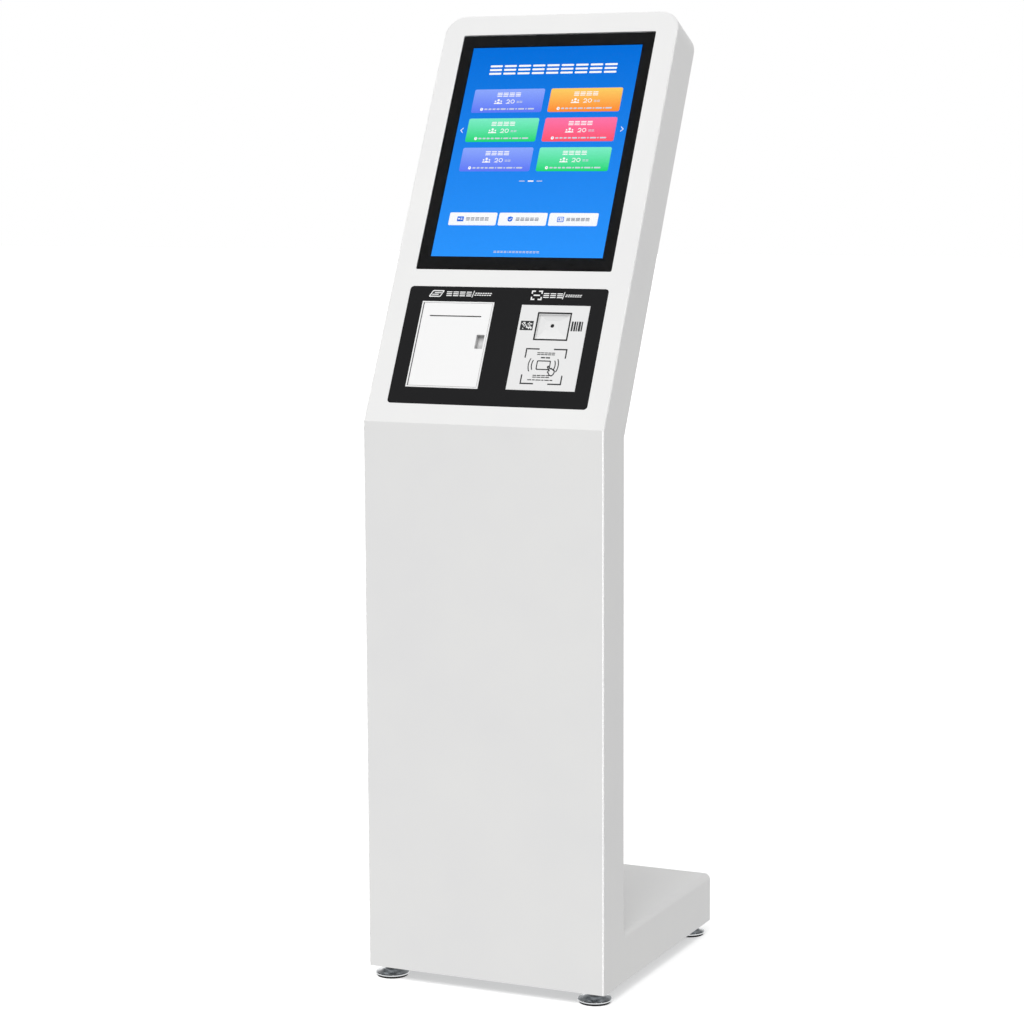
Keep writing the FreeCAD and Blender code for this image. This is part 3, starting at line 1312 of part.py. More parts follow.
PARTS = {
    "side_panel_left": lambda: side_panel(-1),
    "side_panel_right": lambda: side_panel(1),
    "column_front_panel": column_front_panel,
    "head_front_panel": head_front_panel,
    "head_top_cap": head_top_cap,
    "rear_bend_panel": rear_bend_panel,
    "base_top_cover": base_top_cover,
    "base_rear_panel": base_rear_panel,
    "base_floor_plate": base_floor_plate,
    "column_door": column_door,
    "head_door": head_door,
    "hinge_cabinet_leaves": hinge_cabinet_leaves,
    "hinge_pins": hinge_pins,
    "column_hinge_leaves": column_hinge_leaves,
    "head_hinge_leaves": head_hinge_leaves,
    "column_lock_body": column_lock_body,
    "column_lock_cam": column_lock_cam,
    "head_lock_body": head_lock_body,
    "head_lock_cam": head_lock_cam,
    "fan_frame": fan_frame,
    "fan_rotor": fan_rotor,
    "fan_guard": fan_guard,
    "fan_screws": fan_screws,
    "touch_glass": touch_glass,
    "display_frame": display_frame,
    "lcd_panel": lcd_panel,
    "lcd_brackets": lcd_brackets,
    "service_panel": service_panel,
    "service_backplate": service_backplate,
    "printer_bezel": printer_bezel,
    "printer_door": printer_door,
    "printer_chassis": printer_chassis,
    "cutter_blade": cutter_blade,
    "print_head": print_head,
    "platen_roller": platen_roller,
    "idler_gear": idler_gear,
    "motor_pinion": motor_pinion,
    "stepper_motor": stepper_motor,
    "paper_roll": paper_roll,
    "roll_spindle": roll_spindle,
    "paper_web": paper_web,
    "reader_plate": reader_plate,
    "scan_trim": scan_trim,
    "scan_funnel": scan_funnel,
    "scanner_module": scanner_module,
    "circuit_boards": circuit_boards,
    "equipment_plate": equipment_plate,
    "computer_box": computer_box,
    "power_supply": power_supply,
    "terminal_block": terminal_block,
    "power_inlet": power_inlet,
    "rocker_paddle": rocker_paddle,
    "network_port": network_port,
    "internal_cables": internal_cables,
    "cable_clips": cable_clips,
    "cabinet_screws": cabinet_screws,
}
for foot_name, place in zip(FOOT_NAMES, foot_places()):
    PARTS[foot_name] = lambda place=place: foot(*place)


def save(name, shape):
    moved = shape.copy()
    moved.Placement = ROW_SHIFT.multiply(moved.Placement)
    if not moved.isValid():
        print("not valid: " + name)
    moved.exportStep("parts/" + name + ".step")


os.makedirs("parts", exist_ok=True)
for part_name, make in PARTS.items():
    save(part_name, make())
print("%d parts" % len(PARTS))
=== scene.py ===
import json
import math
import random

import bmesh
import bpy
from mathutils import Matrix, Vector


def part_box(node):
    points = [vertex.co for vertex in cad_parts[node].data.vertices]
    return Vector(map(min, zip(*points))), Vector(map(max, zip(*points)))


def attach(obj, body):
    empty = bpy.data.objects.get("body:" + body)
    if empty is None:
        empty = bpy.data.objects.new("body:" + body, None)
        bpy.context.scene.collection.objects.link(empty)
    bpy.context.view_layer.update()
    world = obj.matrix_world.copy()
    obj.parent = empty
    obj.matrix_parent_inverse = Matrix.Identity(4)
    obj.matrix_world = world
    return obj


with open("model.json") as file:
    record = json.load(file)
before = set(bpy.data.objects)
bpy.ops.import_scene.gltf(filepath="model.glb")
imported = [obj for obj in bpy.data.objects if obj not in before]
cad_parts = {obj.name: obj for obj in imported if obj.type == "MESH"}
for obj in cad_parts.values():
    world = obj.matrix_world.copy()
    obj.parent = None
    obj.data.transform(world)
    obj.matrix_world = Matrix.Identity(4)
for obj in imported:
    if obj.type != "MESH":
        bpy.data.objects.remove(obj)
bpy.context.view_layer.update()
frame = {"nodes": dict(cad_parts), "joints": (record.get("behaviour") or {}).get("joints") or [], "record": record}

# Drawn shapes are in millimetres, and on_head turns them into metres.
MM = 0.001
scene = bpy.context.scene
nodes = frame["nodes"]

# The tilted head's own directions: across, into the head, and up its slope, from the fold.
front_low, front_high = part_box("column_front_panel")
FOLD = Vector((0, front_low.y, front_high.z))
head_door_axis = next(joint["axis"] for joint in frame["joints"] if joint["name"] == "head_door_hinge")
ACROSS = Vector((1, 0, 0))
UP_SLOPE = -Vector(head_door_axis)
INWARD = UP_SLOPE.cross(ACROSS)


def on_head(u, w, v):
    """Point across, into and up the slope of the head."""
    return FOLD + (ACROSS * u + INWARD * w + UP_SLOPE * v) * MM


def head_box(node):
    """Spans of a node across the head, into it and up its slope, in millimetres."""
    spans = []
    for axis in (ACROSS, INWARD, UP_SLOPE):
        values = [(vertex.co - FOLD).dot(axis) / MM for vertex in nodes[node].data.vertices]
        spans.append((min(values), max(values)))
    return spans


def middle(span):
    """Middle of a span."""
    return (span[0] + span[1]) / 2


# Outlines in a plane, as lists of points

def rounded(u, v, half_u, half_v, radius=0.0, steps=5):
    """Rectangle about (u, v), with rounded corners if a radius is given."""
    signs = ((1, 1), (-1, 1), (-1, -1), (1, -1))
    if radius <= 0:
        return [(u + su * half_u, v + sv * half_v) for su, sv in signs]
    points = []
    for quarter, (su, sv) in enumerate(signs):
        centre = (u + su * (half_u - radius), v + sv * (half_v - radius))
        for step in range(steps + 1):
            angle = math.pi / 2 * (quarter + step / steps)
            points.append((centre[0] + radius * math.cos(angle), centre[1] + radius * math.sin(angle)))
    return points


def disc(u, v, radius, count=24):
    """Points on a circle."""
    angles = [2 * math.pi * i / count for i in range(count)]
    return [(u + radius * math.cos(angle), v + radius * math.sin(angle)) for angle in angles]


def arc(u, v, radius, start, end, count=12):
    """Points on an arc, with its angles in degrees."""
    angles = [math.radians(start + (end - start) * i / count) for i in range(count + 1)]
    return [(u + radius * math.cos(angle), v + radius * math.sin(angle)) for angle in angles]


# Smallest cosine a mitre is made for, so that a sharp corner's point stays short
MITRE_COSINE = 0.4


def ribbon(points, width):
    """Outline of a line of some width along the points, with mitred corners."""
    left = []
    right = []
    last = len(points) - 1
    for i, (u, v) in enumerate(points):
        before = Vector(points[i]) - Vector(points[max(i - 1, 0)])
        after = Vector(points[min(i + 1, last)]) - Vector(points[i])
        before = (before if i > 0 else after).normalized()
        after = (after if i < last else before).normalized()
        along = (before + after).normalized()
        normal = Vector((-along.y, along.x))
        reach = width / 2 / max(MITRE_COSINE, along.dot(before))
        left.append((u + normal.x * reach, v + normal.y * reach))
        right.append((u - normal.x * reach, v - normal.y * reach))
    return left + right[::-1]


class Plates:
    """Closed flat shapes on the head, of one material, gathered into one mesh."""

    def __init__(self):
        self.mesh = bmesh.new()
        self.tone = self.mesh.verts.layers.float.new("tone")

    def ring(self, outline, depth, low, high):
        """Vertices along an outline at one depth, each with its share of the height as its tone."""
        made = []
        for a, b in outline:
            vertex = self.mesh.verts.new(on_head(a, depth, b))
            vertex[self.tone] = (b - low) / (high - low)
            made.append(vertex)
        return made

    def wall(self, first, second):
        """Faces between two rings with as many vertices each."""
        count = len(first)
        for i in range(count):
            j = (i + 1) % count
            self.mesh.faces.new((first[i], first[j], second[j], second[i]))

    def prism(self, outline, near, far):
        """Solid plate with that outline, between two depths."""
        low = min(b for a, b in outline)
        high = max(b for a, b in outline)
        front = self.ring(outline, near, low, high)
        back = self.ring(outline, far, low, high)
        self.mesh.faces.new(front)
        self.mesh.faces.new(back)
        self.wall(front, back)

    def band(self, outer, inner, near, far):
        """Plate between two outlines with as many points each."""
        low = min(b for a, b in outer)
        high = max(b for a, b in outer)
        near_outer, near_inner = [self.ring(outline, near, low, high) for outline in (outer, inner)]
        far_outer, far_inner = [self.ring(outline, far, low, high) for outline in (outer, inner)]
        self.wall(near_outer, near_inner)
        self.wall(far_outer, far_inner)
        self.wall(near_outer, far_outer)
        self.wall(near_inner, far_inner)

    def finish(self, name, material, slot, body="cabinet"):
        """Turn the gathered shapes into a piece that rides on a body."""
        bmesh.ops.recalc_face_normals(self.mesh, faces=self.mesh.faces)
        data = bpy.data.meshes.new(name)
        self.mesh.to_mesh(data)
        self.mesh.free()
        data.materials.append(material)
        piece = bpy.data.objects.new(name, data)
        scene.collection.objects.link(piece)
        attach(piece, body)


# Materials

def decoded(value):
    """Linear value of an sRGB one, by the standard's formula."""
    if value < 0.04045:
        return value / 12.92
    return ((value + 0.055) / 1.055) ** 2.4


def linear(text):
    """Linear colour of a hexadecimal sRGB one."""
    return tuple(decoded(int(text[i:i + 2], 16) / 255) for i in (0, 2, 4)) + (1,)


def scaled(colour, share):
    """Colour with its red, green and blue multiplied by a share."""
    return tuple(value * share for value in colour[:3]) + (1,)


MICRON = 0.000001
# Places of the mix node's colour sockets: the factor, the first and second colour, and the result
MIX_SOCKETS = (0, 6, 7)
MIX_RESULT = 2
NOISE_ROUGHNESS = 0.55
DRIFT_PER_METRE = 14
GLOSS_DRIFT = 0.15
# Share of its colour that a surface keeps as painted shade in its deepest corners and gaps
PAINTED_SHADE_SHARE = 0.3


class Finish:
    """A material's node tree with its one Principled shader."""

    def __init__(self, name):
        self.material = bpy.data.materials.new(name)
        self.material.use_nodes = True
        self.tree = self.material.node_tree
        self.shader = self.tree.nodes["Principled BSDF"]
        self.place = self.add("ShaderNodeTexCoord").outputs["Object"]

    def add(self, kind, inputs=None, **settings):
        """New node with those settings, whose inputs take values or other nodes' outputs."""
        node = self.tree.nodes.new(kind)
        for key, value in settings.items():
            setattr(node, key, value)
        for key, value in (inputs or {}).items():
            self.set(node.inputs[key], value)
        return node

    def set(self, socket, value):
        """Link an output to a socket, or give the socket a value."""
        if isinstance(value, bpy.types.NodeSocket):
            self.tree.links.new(value, socket)
        else:
            socket.default_value = value

    def shade(self, **values):
        """Set or link the shader's own inputs."""
        for key, value in values.items():
            self.set(self.shader.inputs[key.replace("_", " ")], value)

    def noise(self, scale, detail=4.0, stretch=(1, 1, 1)):
        """Noise in the object's own space, with a scale per metre."""
        mapping = self.add("ShaderNodeMapping", {"Vector": self.place, "Scale": stretch})
        inputs = {"Vector": mapping.outputs[0], "Scale": scale, "Detail": detail}
        inputs["Roughness"] = NOISE_ROUGHNESS
        return self.add("ShaderNodeTexNoise", inputs).outputs[0]

    def spread(self, value, low, high, from_low=0.3, from_high=0.7):
        """Value stretched from one range to another. Most of a noise lies between 0.3 and 0.7."""
        inputs = {"Value": value}
        inputs.update({"From Min": from_low, "From Max": from_high, "To Min": low, "To Max": high})
        return self.add("ShaderNodeMapRange", inputs).outputs[0]

    def mix(self, factor, first, second):
        """Mixed colour: the first one at factor 0, the second one at factor 1."""
        node = self.add("ShaderNodeMix", data_type="RGBA")
        for index, value in zip(MIX_SOCKETS, (factor, first, second)):
            self.set(node.inputs[index], value)
        return node.outputs[MIX_RESULT]

    def math(self, operation, first, second=0.0):
        """Result of a calculation on one or two values, or of a comparison."""
        node = self.add("ShaderNodeMath", operation=operation)
        self.set(node.inputs[0], first)
        self.set(node.inputs[1], second)
        return node.outputs[0]

    def painted_hollow_shade(self, colour, shade, reach):
        """Colour darkened to a share of itself as painted shade, from ambient occlusion, in corners and gaps
        narrower than about the reach.
        """
        dark = scaled(colour, shade)
        open_sky = self.add("ShaderNodeAmbientOcclusion", {"Distance": reach}, samples=8).outputs["AO"]
        return self.mix(self.spread(open_sky, 0, 1, 0.1, 0.95), dark, colour)

    def bump(self, height, microns, strength=1.0):
        """Relief from a height between 0 and 1, with its depth in microns."""
        inputs = {"Height": height, "Distance": microns * MICRON, "Strength": strength}
        self.shade(Normal=self.add("ShaderNodeBump", inputs).outputs[0])


def plain(name, colour, roughness, grain, microns, tint=0.06, metallic=0.0, gloss=0.5, hollow=0.0):
    """Cast, moulded or painted surface: faint drift of colour and gloss, a fine grain, and painted shade in
    corners and gaps narrower than the hollow reach, if one is given.
    """
    finish = Finish(name)
    base = linear(colour)
    darker = scaled(base, 1 - tint)
    drift = finish.noise(DRIFT_PER_METRE)
    fine = finish.noise(grain, 3.0)
    # Painted shade: the colour darkens in corners and gaps narrower than the hollow reach
    lit = finish.painted_hollow_shade(base, PAINTED_SHADE_SHARE, hollow) if hollow > 0 else base
    finish.shade(
        Base_Color=finish.mix(finish.spread(drift, tint, 0), lit, darker),
        Roughness=finish.spread(fine, roughness * (1 - GLOSS_DRIFT), roughness * (1 + GLOSS_DRIFT)),
        Metallic=metallic,
        Specular_IOR_Level=gloss,
    )
    finish.bump(fine, microns)
    return finish.material


def powder_coat():
    """White powder coat with its orange peel."""
    finish = Finish("powder_coat")
    drift = finish.noise(6, 3.0)
    peel = finish.noise(620, 2.0)
    finish.shade(
        Base_Color=finish.mix(finish.spread(drift, 0, 1), linear("eeeeee"), linear("f1f1f0")),
        Roughness=finish.spread(peel, 0.36, 0.44),
        Specular_IOR_Level=0.42,
    )
    finish.bump(peel, 30, 0.5)
    return finish.material


def zinc_sheet():
    """Galvanised sheet: spangles of slightly different grey."""
    finish = Finish("zinc_sheet")
    cells = finish.add("ShaderNodeTexVoronoi", {"Vector": finish.place, "Scale": 160.0})
    tone = finish.add("ShaderNodeSeparateColor", {"Color": cells.outputs["Color"]}).outputs[0]
    haze = finish.noise(40)
    finish.shade(
        Base_Color=finish.mix(tone, linear("a9adb0"), linear("c6c9cb")),
        Roughness=finish.spread(haze, 0.3, 0.5),
        Metallic=1.0,
    )
    finish.bump(finish.noise(900, 2.0), 10, 0.4)
    return finish.material


def chrome_foot(pad_top):
    """Bright plating down to the rubber pad, which starts at the height pad_top."""
    finish = Finish("chrome_foot")
    height = finish.add("ShaderNodeSeparateXYZ", {"Vector": finish.place}).outputs[2]
    metal = finish.math("GREATER_THAN", height, pad_top)
    smudge = finish.noise(90)
    polish = finish.spread(smudge, 0.05, 0.14)
    rubber = finish.math("SUBTRACT", 1.0, metal)
    finish.shade(
        Base_Color=finish.mix(metal, linear("1d1d1e"), linear("e4e6e8")),
        Roughness=finish.math("ADD", polish, finish.math("MULTIPLY", rubber, 0.6)),
        Metallic=metal,
    )
    return finish.material


def screen_ink(name, low, high, strength=1.1):
    """Lit picture on the display, from a lower to an upper colour, behind the panel's fine mesh."""
    finish = Finish(name)
    tone = finish.add("ShaderNodeAttribute", attribute_name="tone").outputs["Fac"]
    picture = finish.mix(tone, linear(low), linear(high))
    cell = finish.noise(260, 2.0)
    lit = finish.mix(finish.spread(cell, 0, 0.04), picture, (0, 0, 0, 1))
    finish.shade(
        Base_Color=(0.003, 0.003, 0.004, 1),
        Roughness=finish.spread(cell, 0.5, 0.6),
        Specular_IOR_Level=0.0,
        Emission_Color=lit,
        Emission_Strength=strength,
    )
    return finish.material


def glass():
    """Clear glass with faint smears."""
    finish = Finish("touch_glass")
    smear = finish.noise(30, 5.0, (1, 1, 3))
    finish.shade(
        Base_Color=(1, 1, 1, 1),
        Roughness=finish.spread(smear, 0.0, 0.012, 0.5, 0.8),
        IOR=1.5,
        Specular_IOR_Level=0.3,
        Transmission_Weight=1.0,
    )
    return finish.material


def brushed(name, colour, roughness, stretch):
    """Ground or drawn metal, with its lines along the axis whose stretch is smallest."""
    finish = Finish(name)
    lines = finish.noise(500, 2.0, stretch)
    finish.shade(
        Base_Color=finish.mix(finish.spread(lines, 0, 0.35), linear(colour), (0.2, 0.2, 0.2, 1)),
        Roughness=finish.spread(lines, roughness * 0.8, roughness * 1.3),
        Metallic=1.0,
    )
    finish.bump(lines, 4)
    return finish.material


def wound_paper(axis_y, axis_z):
    """Thermal paper: fine rings about the roll's axis on its ends, and fibres all over."""
    ring_radians_per_metre = 9000.0
    finish = Finish("thermal_paper")
    parts = finish.add("ShaderNodeSeparateXYZ", {"Vector": finish.place})
    across = finish.math("SUBTRACT", parts.outputs[1], axis_y)
    up = finish.math("SUBTRACT", parts.outputs[2], axis_z)
    square = finish.math("ADD", finish.math("MULTIPLY", across, across), finish.math("MULTIPLY", up, up))
    turn = finish.math("MULTIPLY", finish.math("SQRT", square), ring_radians_per_metre)
    layers = finish.math("SINE", turn)
    fibres = finish.noise(350, 5.0)
    base = finish.mix(finish.spread(layers, 0, 0.4, -1, 1), linear("f2f1ec"), linear("c9c6bd"))
    finish.shade(
        Base_Color=finish.mix(finish.spread(fibres, 0, 0.12), base, linear("b9b4a8")),
        Roughness=finish.spread(fibres, 0.5, 0.65),
    )
    finish.bump(fibres, 10)
    return finish.material


def board_face(axis, inside):
    """Level along an axis of the boards' bare face, where inside(across, up) is true."""
    areas = {}
    for face in nodes["circuit_boards"].data.polygons:
        offset = face.center - FOLD
        if face.normal.dot(axis) > 0.9 and inside(offset.dot(ACROSS), offset.dot(UP_SLOPE)):
            level = round(offset.dot(axis), 4)
            areas[level] = areas.get(level, 0) + face.area
    return max(areas, key=areas.get)


def circuit_mask(above):
    """Green solder mask over copper tracks, with dark components on the side that faces away.

    The display's boards lie above the given height up the slope. Below it the card reader's board is
    right of the middle, and the printer's board is on the left and lies across the slope.
    """
    track_pitch = 0.0014
    patches_per_metre = 130.0
    component_rise = 0.1 * MM
    upright_share = 0.5
    routed_share = 0.7
    track_edge = 0.3
    finish = Finish("solder_mask")
    offset = finish.add("ShaderNodeVectorMath", {0: finish.place, 1: FOLD}, operation="SUBTRACT").outputs[0]
    spans = []
    for axis in (ACROSS, INWARD, UP_SLOPE):
        span = finish.add("ShaderNodeVectorMath", {0: offset, 1: axis}, operation="DOT_PRODUCT")
        spans.append(span.outputs["Value"])
    across, depth, up = spans
    inputs = {"Vector": offset, "Scale": patches_per_metre}
    cells = finish.add("ShaderNodeTexVoronoi", inputs, distance="CHEBYCHEV")
    kind = finish.add("ShaderNodeSeparateColor", {"Color": cells.outputs["Color"]})
    pitch = 2 * math.pi / track_pitch
    lines = [finish.math("SINE", finish.math("MULTIPLY", span, pitch)) for span in (across, up)]
    turned = finish.math("GREATER_THAN", kind.outputs[0], upright_share)
    wave = finish.add("ShaderNodeMix", {0: turned, 2: lines[0], 3: lines[1]}).outputs[0]
    routed = finish.math("LESS_THAN", kind.outputs[1], routed_share)
    track = finish.math("MULTIPLY", routed, finish.math("GREATER_THAN", wave, track_edge))
    upper = finish.math("GREATER_THAN", up, above)
    lower = finish.math("LESS_THAN", up, above)
    right = finish.math("MULTIPLY", lower, finish.math("GREATER_THAN", across, 0.0))
    left = finish.math("MULTIPLY", lower, finish.math("LESS_THAN", across, 0.0))
    boards = (
        (upper, depth, board_face(INWARD, lambda a, b: b > above)),
        (right, depth, board_face(INWARD, lambda a, b: b < above and a > 0)),
        (left, up, board_face(UP_SLOPE, lambda a, b: b < above and a < 0)),
    )
    component = 0.0
    for region, along, face in boards:
        raised = finish.math("GREATER_THAN", along, face + component_rise)
        component = finish.math("MAXIMUM", component, finish.math("MULTIPLY", region, raised))
    board = finish.mix(track, linear("0f4f2f"), linear("2a8a58"))
    haze = finish.noise(200)
    finish.shade(
        Base_Color=finish.mix(component, board, linear("242427")),
        Roughness=finish.spread(haze, 0.28, 0.42),
    )
    finish.bump(track, 20)
    return finish.material


roll_low, roll_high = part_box("paper_roll")
foot_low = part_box("foot_front_left")[0]
PAD = 3 * MM
panel_box = head_box("service_panel")
# A plain finish takes a name, a colour, a roughness, its grain per metre and that grain's depth in microns
FINISHES = {
    "white_powder_coat": powder_coat(),
    "galvanised_steel": zinc_sheet(),
    "bright_steel": brushed("bright_steel", "c9cbce", 0.25, (0.05, 1, 1)),
    "chrome_plate": chrome_foot(foot_low.z + PAD),
    "black_plastic": plain("black_plastic", "262627", 0.5, 900, 20),
    "black_acrylic": plain("black_acrylic", "252526", 0.16, 25, 1, gloss=0.3),
    "screen_glass": glass(),
    "lcd_module": plain("lcd_bezel", "1b1b1d", 0.4, 300, 10, metallic=0.6),
    # White plastic with painted shade in corners, gaps and pockets narrower than 12 mm, such as the printer door's
    # finger pull
    "white_plastic": plain("white_plastic", "f8f8f8", 0.35, 700, 10, tint=0.02, hollow=0.012),
    "grey_plastic": plain("grey_plastic", "ebebeb", 0.42, 700, 10, tint=0.02),
    "print_head_aluminium": brushed("aluminium", "c5c8cc", 0.35, (0.05, 1, 1)),
    "roller_rubber": plain("roller_rubber", "2a2a2b", 0.7, 800, 30),
    "brass_gear": plain("brass", "c9a24f", 0.3, 300, 5, metallic=1.0),
    "motor_steel": plain("motor_steel", "2b2c2f", 0.35, 400, 10, metallic=0.4),
    "thermal_paper": wound_paper((roll_low.y + roll_high.y) / 2, (roll_low.z + roll_high.z) / 2),
    "circuit_board": circuit_mask(panel_box[2][1] * MM),
    "cable_jacket": plain("cable_jacket", "1c1c1d", 0.55, 500, 30),
}
for entry in frame["record"]["subparts"]:
    part = nodes[entry["node"]]
    for material_slot in part.material_slots:
        material_slot.material = FINISHES[entry["material_slot"]]


# Picture on the display

glass_u, glass_w, glass_v = head_box("touch_glass")
lcd_box = head_box("lcd_panel")
SCREEN_V = middle(lcd_box[2])
LIT_HALF_U = 150.4
LIT_HALF_V = 188.0
PICTURE_RECESS = 1.6
PICTURE_W = lcd_box[1][0] + PICTURE_RECESS
LAYER = 0.06
LIT_SLOT = "lcd_module"


def layer(level):
    """Near and far depth of a layer of the picture, counted towards the glass."""
    far = PICTURE_W - level * LAYER
    return far - LAYER, far


def words(plates, u, v, line, depth, strokes=2, slant=0.0):
    """Greeked line of text centred on (u, v): a stack of equal plain bars for each width.

    The line has the widths of its stacks, their height and the gap between them, in millimetres.
    """
    widths, height, gap = line
    fill = 1.0 if strokes == 1 else 0.5
    thick = height / strokes * fill
    left = u - (sum(widths) + gap * (len(widths) - 1)) / 2
    for width in widths:
        for row in range(strokes):
            b = v + height * ((row + 0.5) / strokes - 0.5)
            a = left + width / 2 + slant * (b - v)
            plates.prism(rounded(a, b, width / 2, thick / 2, thick * 0.3, 2), *depth)
        left += width + gap


def numeral_two(u, v, width, height, stroke):
    """Outline of a 2 centred on (u, v)."""
    radius = width / 2 - stroke / 2
    top = v + height / 2 - stroke / 2 - radius
    base = v - height / 2 + stroke / 2
    return ribbon(arc(u, top, radius, 160, -30, 10) + [(u - radius, base), (u + width / 2, base)], stroke)


def people(plates, u, v, size, depth):
    """Three heads and shoulders, the middle one in front."""
    for offset, head_v, scale in ((-0.62, 0.08, 0.66), (0.62, 0.08, 0.66), (0, 0.3, 1)):
        centre = u + offset * size
        plates.prism(disc(centre, v + head_v * size, 0.25 * size * scale, 16), *depth)
        plates.prism(arc(centre, v - 0.48 * size, 0.4 * size * scale, 0, 180, 10), *depth)


def icon_lines(plates, u, v):
    """Two short lines, one above the other."""
    for offset in (1.2, -1.2):
        plates.prism(rounded(u, v + offset, 1.7, 0.5), *layer(3))


def card_icon(marks, white, u, v):
    """A card with a portrait and two lines."""
    marks.prism(rounded(u, v, 5.8, 4.4, 0.8), *layer(2))
    white.prism(disc(u - 2.6, v + 0.2, 1.5, 16), *layer(3))
    icon_lines(white, u + 2.0, v)


def shield_icon(marks, white, u, v):
    """A shield with a tick."""
    half = 4.4
    brim = [(u - half, v + 3.4), (u, v + 5.0), (u + half, v + 3.4)]
    marks.prism(arc(u, v, half, 180, 360) + brim[::-1], *layer(2))
    tick = [(u - 2.2, v + 0.4), (u - 0.4, v - 1.6), (u + 2.4, v + 2.0)]
    white.prism(ribbon(tick, 0.9), *layer(3))


def ticket_icon(marks, u, v):
    """An outlined ticket with a stub and two lines."""
    rim = 1.3
    marks.band(rounded(u, v, 5.8, 4.6, 1.2), rounded(u, v, 5.8 - rim, 4.6 - rim, 0.5), *layer(2))
    marks.prism(rounded(u - 2.2, v, 1.3, 1.9), *layer(3))
    icon_lines(marks, u + 2.0, v)


TILE_HALF_U = 62.8
TILE_HALF_V = 21.2
TILE_PITCH_U = 136.7
TILE_PITCH_V = 52.9
TILES_SHIFT_U = -0.7
TOP_TILE_V = SCREEN_V + 90.4
# Lower and upper colour of each kind of tile, and the kinds row by row from the left
TILE_INKS = {
    "periwinkle": ("5f79f8", "8ea9ff"),
    "orange": ("ff8a34", "ffd066"),
    "green": ("1fd873", "7df0c9"),
    "rose": ("ff566c", "ff76ac"),
}
TILE_ORDER = ("periwinkle", "orange", "green", "rose", "periwinkle", "green")
TILE_TITLE = ((9, 9, 9.5, 9), 8.4, 1.8)
TILE_UNIT = ((4.4, 4.8), 4.2, 1.0)
TILE_HOURS = ((5.4, 5.4, 5.4, 5.4, 9, 2.5, 9, 3, 11, 2.5, 11), 2.6, 1.9)

HEADING = ((21.6,) * 9, 20.5, 3.9)
HEADING_V = SCREEN_V + 147
ARROW_TIP_U = 143.6
ARROW_HALF = 4.3
PAGER_V = SCREEN_V - 54
PAGER_PITCH = 15.4
PAGER_SHIFT_U = -0.2

BUTTON_HALF_U = 42.2
BUTTON_HALF_V = 11.2
BUTTON_PITCH = 88.2
BUTTONS_SHIFT_U = -1
BUTTON_V = SCREEN_V - 121.2
BUTTON_LABEL = ((6.8, 6.8, 7.2, 6.8, 6.8), 6.4, 1.4)
FOOTER = ((4.6, 4.6, 4.6, 4.6, 1.5) + (4.6,) * 9, 4.2, 1.4)
FOOTER_V = SCREEN_V - 178.6


def queue_count(white, soft, u, v):
    """Three people, the number 20 and a greeked unit after it."""
    height = 7.6
    stroke = 1.1
    zero_u = u + 8.6
    zero_radius = 3.6
    people(white, u - 17, v, 8.4, layer(2))
    white.prism(numeral_two(u + 0.4, v, 6.4, height, stroke), *layer(2))
    white.band(disc(zero_u, v, zero_radius, 28), disc(zero_u, v, zero_radius - stroke, 28), *layer(2))
    words(soft, u + 21, v - 0.8, TILE_UNIT, layer(2))


def opening_hours(white, soft, marks, u, v):
    """A small clock with its hands, and greeked hours right of it."""
    white.prism(disc(u, v, 2.7, 20), *layer(2))
    hands = [(u, v + 1.7), (u, v), (u + 1.4, v)]
    marks.prism(ribbon(hands, 0.6), *layer(3))
    words(soft, u + 49.5, v, TILE_HOURS, layer(2), 1)


def screen_tiles(white, soft, marks):
    """Six coloured tiles in two columns, each with a title, its queue and its hours."""
    tiles = {name: Plates() for name in TILE_INKS}
    for index, name in enumerate(TILE_ORDER):
        u = (index % 2 - 0.5) * TILE_PITCH_U + TILES_SHIFT_U
        v = TOP_TILE_V - index // 2 * TILE_PITCH_V
        tiles[name].prism(rounded(u, v, TILE_HALF_U, TILE_HALF_V, 3.2), *layer(1))
        words(white, u, v + 11.2, TILE_TITLE, layer(2), 3)
        queue_count(white, soft, u, v - 1.4)
        opening_hours(white, soft, marks, u - 44.5, v - 15)
    for name, plates in tiles.items():
        plates.finish("screen_tiles_" + name, screen_ink("screen_" + name, *TILE_INKS[name]), LIT_SLOT)


def screen_arrows(white):
    """An arrow at each side, beside the middle row of tiles."""
    v = TOP_TILE_V - TILE_PITCH_V
    for side in (-1, 1):
        tip = side * ARROW_TIP_U
        tail = tip - side * ARROW_HALF
        arrow = [(tail, v + ARROW_HALF), (tip, v), (tail, v - ARROW_HALF)]
        white.prism(ribbon(arrow, 1.0), *layer(1))


def screen_pager(white, soft):
    """Three page marks, the middle one bright and thicker."""
    for step in (-1, 0, 1):
        target = white if step == 0 else soft
        half_thick = 1.1 if step == 0 else 0.7
        mark = rounded(step * PAGER_PITCH + PAGER_SHIFT_U, PAGER_V, 5.0, half_thick, 0.6, 3)
        target.prism(mark, *layer(1))


def screen_buttons(buttons, grey, marks, white):
    """Three white buttons in a row, each with its symbol and a greeked label."""
    centres = [step * BUTTON_PITCH + BUTTONS_SHIFT_U for step in (-1, 0, 1)]
    for u in centres:
        buttons.prism(rounded(u, BUTTON_V, BUTTON_HALF_U, BUTTON_HALF_V, 2.4), *layer(1))
        words(grey, u + 8, BUTTON_V, BUTTON_LABEL, layer(2), 3)
    left, centre, right = [u - 22 for u in centres]
    card_icon(marks, white, left, BUTTON_V)
    shield_icon(marks, white, centre, BUTTON_V)
    ticket_icon(marks, right, BUTTON_V)


